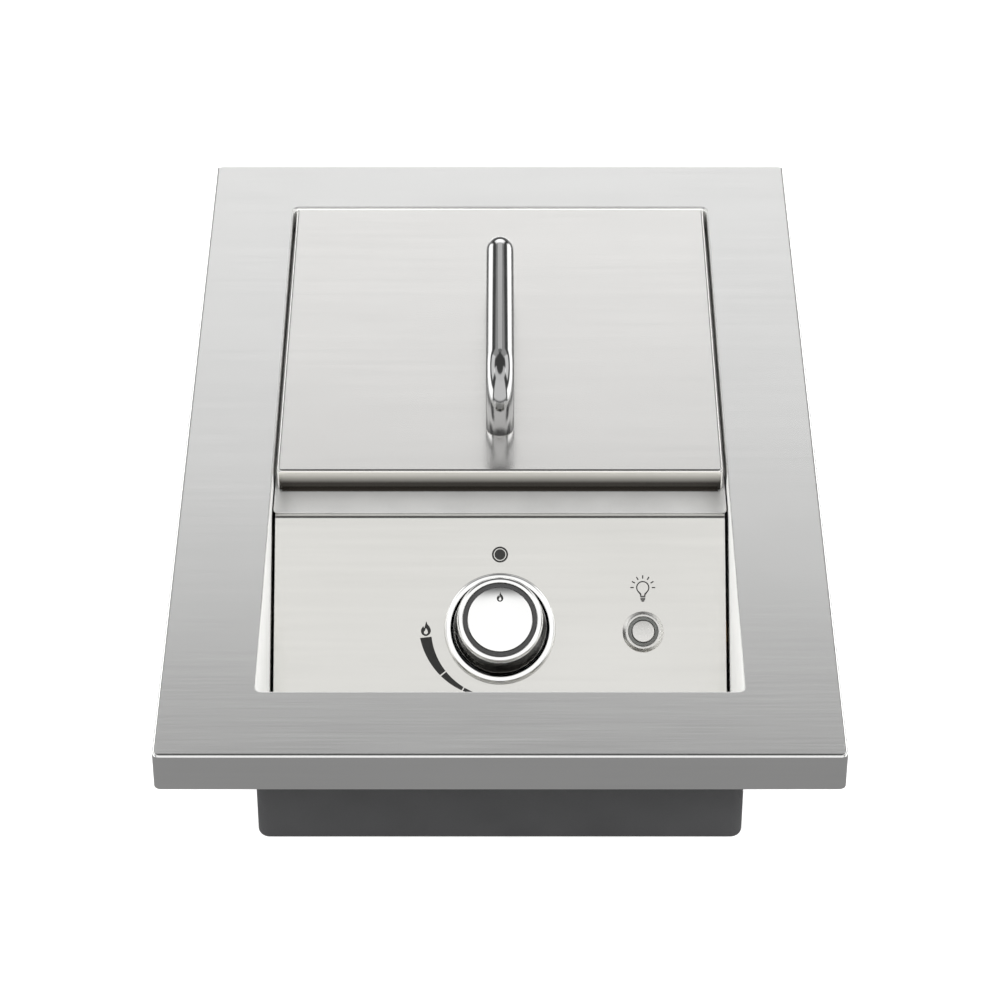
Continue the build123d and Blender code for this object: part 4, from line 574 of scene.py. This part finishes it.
def printed(name, loops, place, body, lift_mm=INK_LIFT_MM):
    """Closed outlines filled even-odd, so a loop inside another is a hole, and given the ink's thickness."""
    curve = bpy.data.curves.new(name, "CURVE")
    curve.dimensions = "2D"
    curve.fill_mode = "BOTH"
    curve.extrude = INK_THICKNESS_MM * MM / 2
    for loop in loops:
        spline = curve.splines.new("POLY")
        spline.points.add(len(loop) - 1)
        flat = np.zeros((len(loop), 4))
        flat[:, :2] = np.asarray(loop) * MM
        flat[:, 3] = 1
        spline.points.foreach_set("co", flat.ravel())
        spline.use_cyclic_u = True
    holder = bpy.data.objects.new(name, curve)
    mesh = bpy.data.meshes.new_from_object(holder)
    bpy.data.objects.remove(holder)
    bpy.data.curves.remove(curve)
    mesh.transform(place @ Matrix.Translation((0, 0, (lift_mm + INK_THICKNESS_MM / 2) * MM)))
    mesh.polygons.foreach_set("use_smooth", [False] * len(mesh.polygons))
    link_piece(name, mesh, PRINT_INK, body)


def circle(radius, centre=(0.0, 0.0), count=48):
    """Points round a circle: centre + r (cos a, sin a)."""
    angles = np.linspace(0, 2 * math.pi, count, endpoint=False)
    return np.stack([centre[0] + radius * np.cos(angles), centre[1] + radius * np.sin(angles)], axis=-1)


def smooth_loop(corners, count=12):
    """A closed Catmull-Rom curve through the corners: each span is the usual cubic of its four neighbours."""
    p1 = np.array(corners, dtype=float)
    p0, p2, p3 = np.roll(p1, 1, axis=0), np.roll(p1, -1, axis=0), np.roll(p1, -2, axis=0)
    t = np.linspace(0, 1, count, endpoint=False)[:, None, None]
    square, cube = 2 * p0 - 5 * p1 + 4 * p2 - p3, 3 * p1 - p0 - 3 * p2 + p3
    curve = (2 * p1 + (p2 - p0) * t + square * t ** 2 + cube * t ** 3) / 2
    return np.swapaxes(curve, 0, 1).reshape(-1, 2)


def moved(loop, x, y, size=1.0):
    """A loop scaled about its origin and moved."""
    return np.asarray(loop) * size + np.array([x, y])


def bar(x0, y0, x1, y1, width):
    """A straight stroke of the given width."""
    along = np.array([x1 - x0, y1 - y0])
    side = np.array([-along[1], along[0]]) / np.linalg.norm(along) * width / 2
    start, end = np.array([x0, y0]), np.array([x1, y1])
    return np.stack([start - side, end - side, end + side, start + side])


# Off sign: a dot in a ring above the knob
OFF_UP_MM, OFF_RING_MM, OFF_LINE_MM, OFF_DOT_MM = 44.2, 4.75, 1.05, 3.2
printed("off_sign_ring", [circle(OFF_RING_MM - inset, (0, OFF_UP_MM)) for inset in (0, OFF_LINE_MM)],
        knob_place, "housing")
printed("off_sign_dot", [circle(OFF_DOT_MM, (0, OFF_UP_MM))], knob_place, "housing")

# Flame sign: a plain flame with a hollow core, left of the knob, and a smaller one on its face as the pointer
FLAME = [(0.3, 4.6), (1.0, 3.0), (2.3, 1.3), (3.1, -0.9), (2.5, -3.0), (0.9, -4.2), (-0.9, -4.2),
         (-2.5, -3.0), (-3.0, -0.9), (-2.3, 0.8), (-1.5, 1.6), (-0.9, 0.6), (-0.4, 2.6)]
FLAME_CORE = [(0.1, 0.4), (1.1, -1.2), (1.2, -2.5), (0.3, -3.3), (-0.8, -3.0), (-1.2, -1.9), (-0.5, -0.9)]
FLAME_LEFT_MM, FLAME_SIZE = 43.4, 0.95
POINTER_UP_MM, POINTER_SIZE, KNOB_FACE_MM = 13.0, 0.62, 36.3


def flame(x, y, size):
    """The flame's outline and its core, at a place and a size."""
    return [moved(smooth_loop(loop), x, y, size) for loop in (FLAME, FLAME_CORE)]


printed("flame_sign", flame(-FLAME_LEFT_MM, 0.0, FLAME_SIZE), knob_place, "housing")
printed("knob_pointer", flame(0.0, POINTER_UP_MM, POINTER_SIZE), knob_place, "knob",
        lift_mm=KNOB_FACE_MM + INK_LIFT_MM)

# Heat scale: an arc about the knob that starts wide under the flame and thins out, cut by two ticks
SCALE_INNER_MM, SCALE_START_MM, SCALE_TAPER = 40.3, 7.3, 0.9
SCALE_START_DEGREES, SCALE_TICKS_DEGREES, SCALE_END_DEGREES, SCALE_GAP_DEGREES = 6.5, (38.4, 58.7), 80.0, 0.5


def scale_piece(first, last, count=24):
    """A stretch of the arc between two angles below nine o'clock; its width falls with the angle to
    nothing."""
    angles = np.linspace(first, last, count)
    width = SCALE_START_MM * (1 - angles / SCALE_END_DEGREES) ** SCALE_TAPER
    turn = np.radians(180 + angles)
    rim = np.stack([np.cos(turn), np.sin(turn)], axis=-1)
    return np.concatenate([rim * SCALE_INNER_MM, (rim * (SCALE_INNER_MM + width)[:, None])[::-1]])


stops = (SCALE_START_DEGREES,) + SCALE_TICKS_DEGREES + (SCALE_END_DEGREES - SCALE_GAP_DEGREES,)
for number, (first, last) in enumerate(zip(stops, stops[1:])):
    opening = 0 if number == 0 else SCALE_GAP_DEGREES
    printed(f"heat_scale_{number + 1}", [scale_piece(first + opening, last - SCALE_GAP_DEGREES)], knob_place,
            "housing")

# Lamp sign over the switch: an outlined bulb with its rays and the lines of its cap, each a drop and a half
# length
LAMP_UP_MM, LAMP_RADIUS_MM, LAMP_LINE_MM, LAMP_GLOBE_DEGREES = 26.3, 3.9, 0.7, (-38, 218)
LAMP_NECK_MM, LAMP_NECK_DROP_MM, LAMP_NECK_RISE_MM = 1.55, 5.6, 1.2
LAMP_RAYS, RAY_START_MM, RAY_END_MM = 7, 5.3, 7.3
LAMP_CAP_LINES_MM = ((6.3, 1.45), (7.2, 1.35), (8.0, 0.8))


def lamp_outline(shrink, count=40):
    """A bulb: an arc round its globe drawn in to a neck, all moved inwards by shrink."""
    angles = np.radians(np.linspace(*LAMP_GLOBE_DEGREES, count))
    globe = (LAMP_RADIUS_MM - shrink) * np.stack([np.cos(angles), np.sin(angles)], axis=-1)
    neck, low = LAMP_NECK_MM - shrink, shrink - LAMP_NECK_DROP_MM
    shoulder = low + LAMP_NECK_RISE_MM
    return np.concatenate([globe, [[-neck, shoulder], [-neck, low], [neck, low], [neck, shoulder]]])


printed("lamp_sign", [moved(lamp_outline(shrink), 0, LAMP_UP_MM) for shrink in (0, LAMP_LINE_MM)],
        switch_place, "housing")
for number, angle in enumerate(np.linspace(0, math.pi, LAMP_RAYS)):
    x, y = math.cos(angle), math.sin(angle)
    ray = bar(RAY_START_MM * x, RAY_START_MM * y, RAY_END_MM * x, RAY_END_MM * y, LAMP_LINE_MM)
    printed(f"lamp_ray_{number + 1}", [moved(ray, 0, LAMP_UP_MM)], switch_place, "housing")
for number, (drop, half) in enumerate(LAMP_CAP_LINES_MM):
    printed(f"lamp_cap_{number + 1}", [moved(bar(-half, -drop, half, -drop, LAMP_LINE_MM), 0, LAMP_UP_MM)],
            switch_place, "housing")

# Studio: a pale floor, a plain backdrop, two fill lights, and a sky whose soft panels shade the steel
STUDIO_WHITE, FLOOR_GREY = "#FFFFFF", "#BCBCBC"
FLOOR_SIZE_M, FLOOR_HEIGHT_M, FLOOR_GLOW = 30.0, -0.0003, 0.6
SKY_BASE = 0.1
# Each panel: strength, lowest and highest elevation, nearest and farthest bearing from straight behind the
# object to either side, and how softly its edges fade, all in degrees
SKY_PANELS = [
    # The frame and the lid show these two, which stop low, so that the steel darkens to the front
    (0.64, 8.0, 39.3, -20.0, 11.5, 1.2),
    (0.18, 8.0, 52.0, -20.0, 11.5, 2.0),
    # A bright band low behind, and another to both sides, for the edges of the handle and the knob
    (1.6, 8.0, 25.0, -20.0, 18.0, 2.0),
    (2.4, -8.0, 13.0, 27.0, 120.0, 3.0),
    # High in front: what the sloped panel and the knob's face show
    (0.95, 47.0, 65.5, 90.0, 200.0, 3.0),
    # The room in front, and its sides, for what faces that way
    (1.0, 0.0, 47.0, 130.0, 200.0, 3.0),
    (1.15, 25.0, 50.0, 45.0, 106.0, 3.0),
    # Beside the first two: the frame and the lid as they are seen from a little to the side
    (0.45, 28.0, 56.0, 12.0, 47.0, 3.0),
    # Below the horizon: what the frame's skirt shows
    (0.2, -100.0, -3.0, -20.0, 200.0, 3.0)]
FILL_PLACES_M, FILL_SIZE_M, FILL_WATTS = [(-1.1, -0.9, 1.25), (1.1, -0.9, 1.25)], 0.9, 45.0


def studio_floor():
    """A level square just under the casing's foot; it lights and shades but does not show in the steel, and
    it is clear from below, so that the underside can be seen."""
    half = FLOOR_SIZE_M / 2
    mesh = bpy.data.meshes.new("floor")
    corners = [(x * half, y * half, FLOOR_HEIGHT_M) for x, y in ((-1, -1), (1, -1), (1, 1), (-1, 1))]
    mesh.from_pydata(corners, [], [(0, 1, 2, 3)])
    floor = bpy.data.objects.new("floor", mesh)
    scene.collection.objects.link(floor)
    # Seamless studio card, evenly lit: so pale that only the contact shadow shows
    material, tree, _ = new_material("pale studio floor")
    paint = add_node(tree, "ShaderNodeBsdfPrincipled", {
        "Base Color": linear(FLOOR_GREY), "Roughness": 1.0, "Specular IOR Level": 0.0,
        "Emission Color": linear(STUDIO_WHITE), "Emission Strength": FLOOR_GLOW})
    clear = add_node(tree, "ShaderNodeBsdfTransparent")
    underneath = add_node(tree, "ShaderNodeNewGeometry").outputs["Backfacing"]
    both = add_node(tree, "ShaderNodeMixShader", {0: underneath, 1: paint, 2: clear})
    add_node(tree, "ShaderNodeOutputMaterial", {"Surface": both})
    mesh.materials.append(material)
    floor.visible_glossy = False


def sky_panel(tree, elevation, bearing, panel):
    """A panel's light by direction: its strength times four steps, each rising or falling smoothly at an
    edge."""
    strength, low, high, near, far, soft = panel
    light = strength
    edges = ((elevation, low, 1), (elevation, high, 0), (bearing, near, 1), (bearing, far, 0))
    for angle, edge, rises in edges:
        step = add_node(tree, "ShaderNodeMapRange", {
            "Value": angle, "From Min": edge - soft, "From Max": edge + soft,
            "To Min": 1 - rises, "To Max": rises}, interpolation_type="SMOOTHSTEP")
        light = add_node(tree, "ShaderNodeMath", {0: step, 1: light}, operation="MULTIPLY")
    return light


def studio_sky():
    """The sum of the panels by elevation and bearing, over a faint base. Behind the object stands a plain
    white backdrop in every view."""
    world = bpy.data.worlds.new("studio sky")
    scene.world = world
    world.use_nodes = True
    tree = world.node_tree
    tree.nodes.clear()
    direction = add_node(tree, "ShaderNodeTexCoord").outputs["Generated"]
    x, y, z = add_node(tree, "ShaderNodeSeparateXYZ", {"Vector": direction}).outputs
    elevation = add_node(tree, "ShaderNodeMath", {0: z}, operation="ARCSINE")
    elevation = add_node(tree, "ShaderNodeMath", {0: elevation}, operation="DEGREES")
    aside = add_node(tree, "ShaderNodeMath", {0: x}, operation="ABSOLUTE")
    bearing = add_node(tree, "ShaderNodeMath", {0: aside, 1: y}, operation="ARCTAN2")
    bearing = add_node(tree, "ShaderNodeMath", {0: bearing}, operation="DEGREES")
    level = SKY_BASE
    for panel in SKY_PANELS:
        light = sky_panel(tree, elevation, bearing, panel)
        level = add_node(tree, "ShaderNodeMath", {0: light, 1: level}, operation="ADD")
    lit = add_node(tree, "ShaderNodeBackground", {"Color": linear(STUDIO_WHITE), "Strength": level})
    plain = add_node(tree, "ShaderNodeBackground", {"Color": linear(STUDIO_WHITE), "Strength": 1.0})
    seen = add_node(tree, "ShaderNodeLightPath").outputs["Is Camera Ray"]
    both = add_node(tree, "ShaderNodeMixShader", {0: seen, 1: lit, 2: plain})
    add_node(tree, "ShaderNodeOutputWorld", {"Surface": both})


def fill_light(name, place):
    """A square soft box aimed at the object; it lights the dull surfaces and does not show in the metal."""
    data = bpy.data.lights.new(name, "AREA")
    data.shape, data.size, data.energy = "SQUARE", FILL_SIZE_M, FILL_WATTS
    lamp = bpy.data.objects.new(name, data)
    lamp.location = place
    lamp.rotation_euler = (-Vector(place)).to_track_quat("-Z", "Y").to_euler()
    lamp.visible_glossy = False
    scene.collection.objects.link(lamp)


def photo_camera():
    """The photograph's view: its pitch, place and focal length."""
    data = bpy.data.cameras.new("photo_camera")
    data.sensor_width = SENSOR_MM
    data.lens = PHOTO_FOCAL_PX * SENSOR_MM / PHOTO_WIDTH_PX
    data.clip_start, data.clip_end = CAMERA_RANGE_M
    camera = bpy.data.objects.new("photo_camera", data)
    camera.location = CAMERA_PLACE_M
    camera.rotation_euler = (math.radians(90 - CAMERA_PITCH_DEGREES), 0, 0)
    scene.collection.objects.link(camera)
    bpy.context.scene.camera = camera


studio_floor()
studio_sky()
for number, place in enumerate(FILL_PLACES_M):
    fill_light(f"fill_light_{number + 1}", place)
photo_camera()
scene.view_settings.view_transform = "Standard"
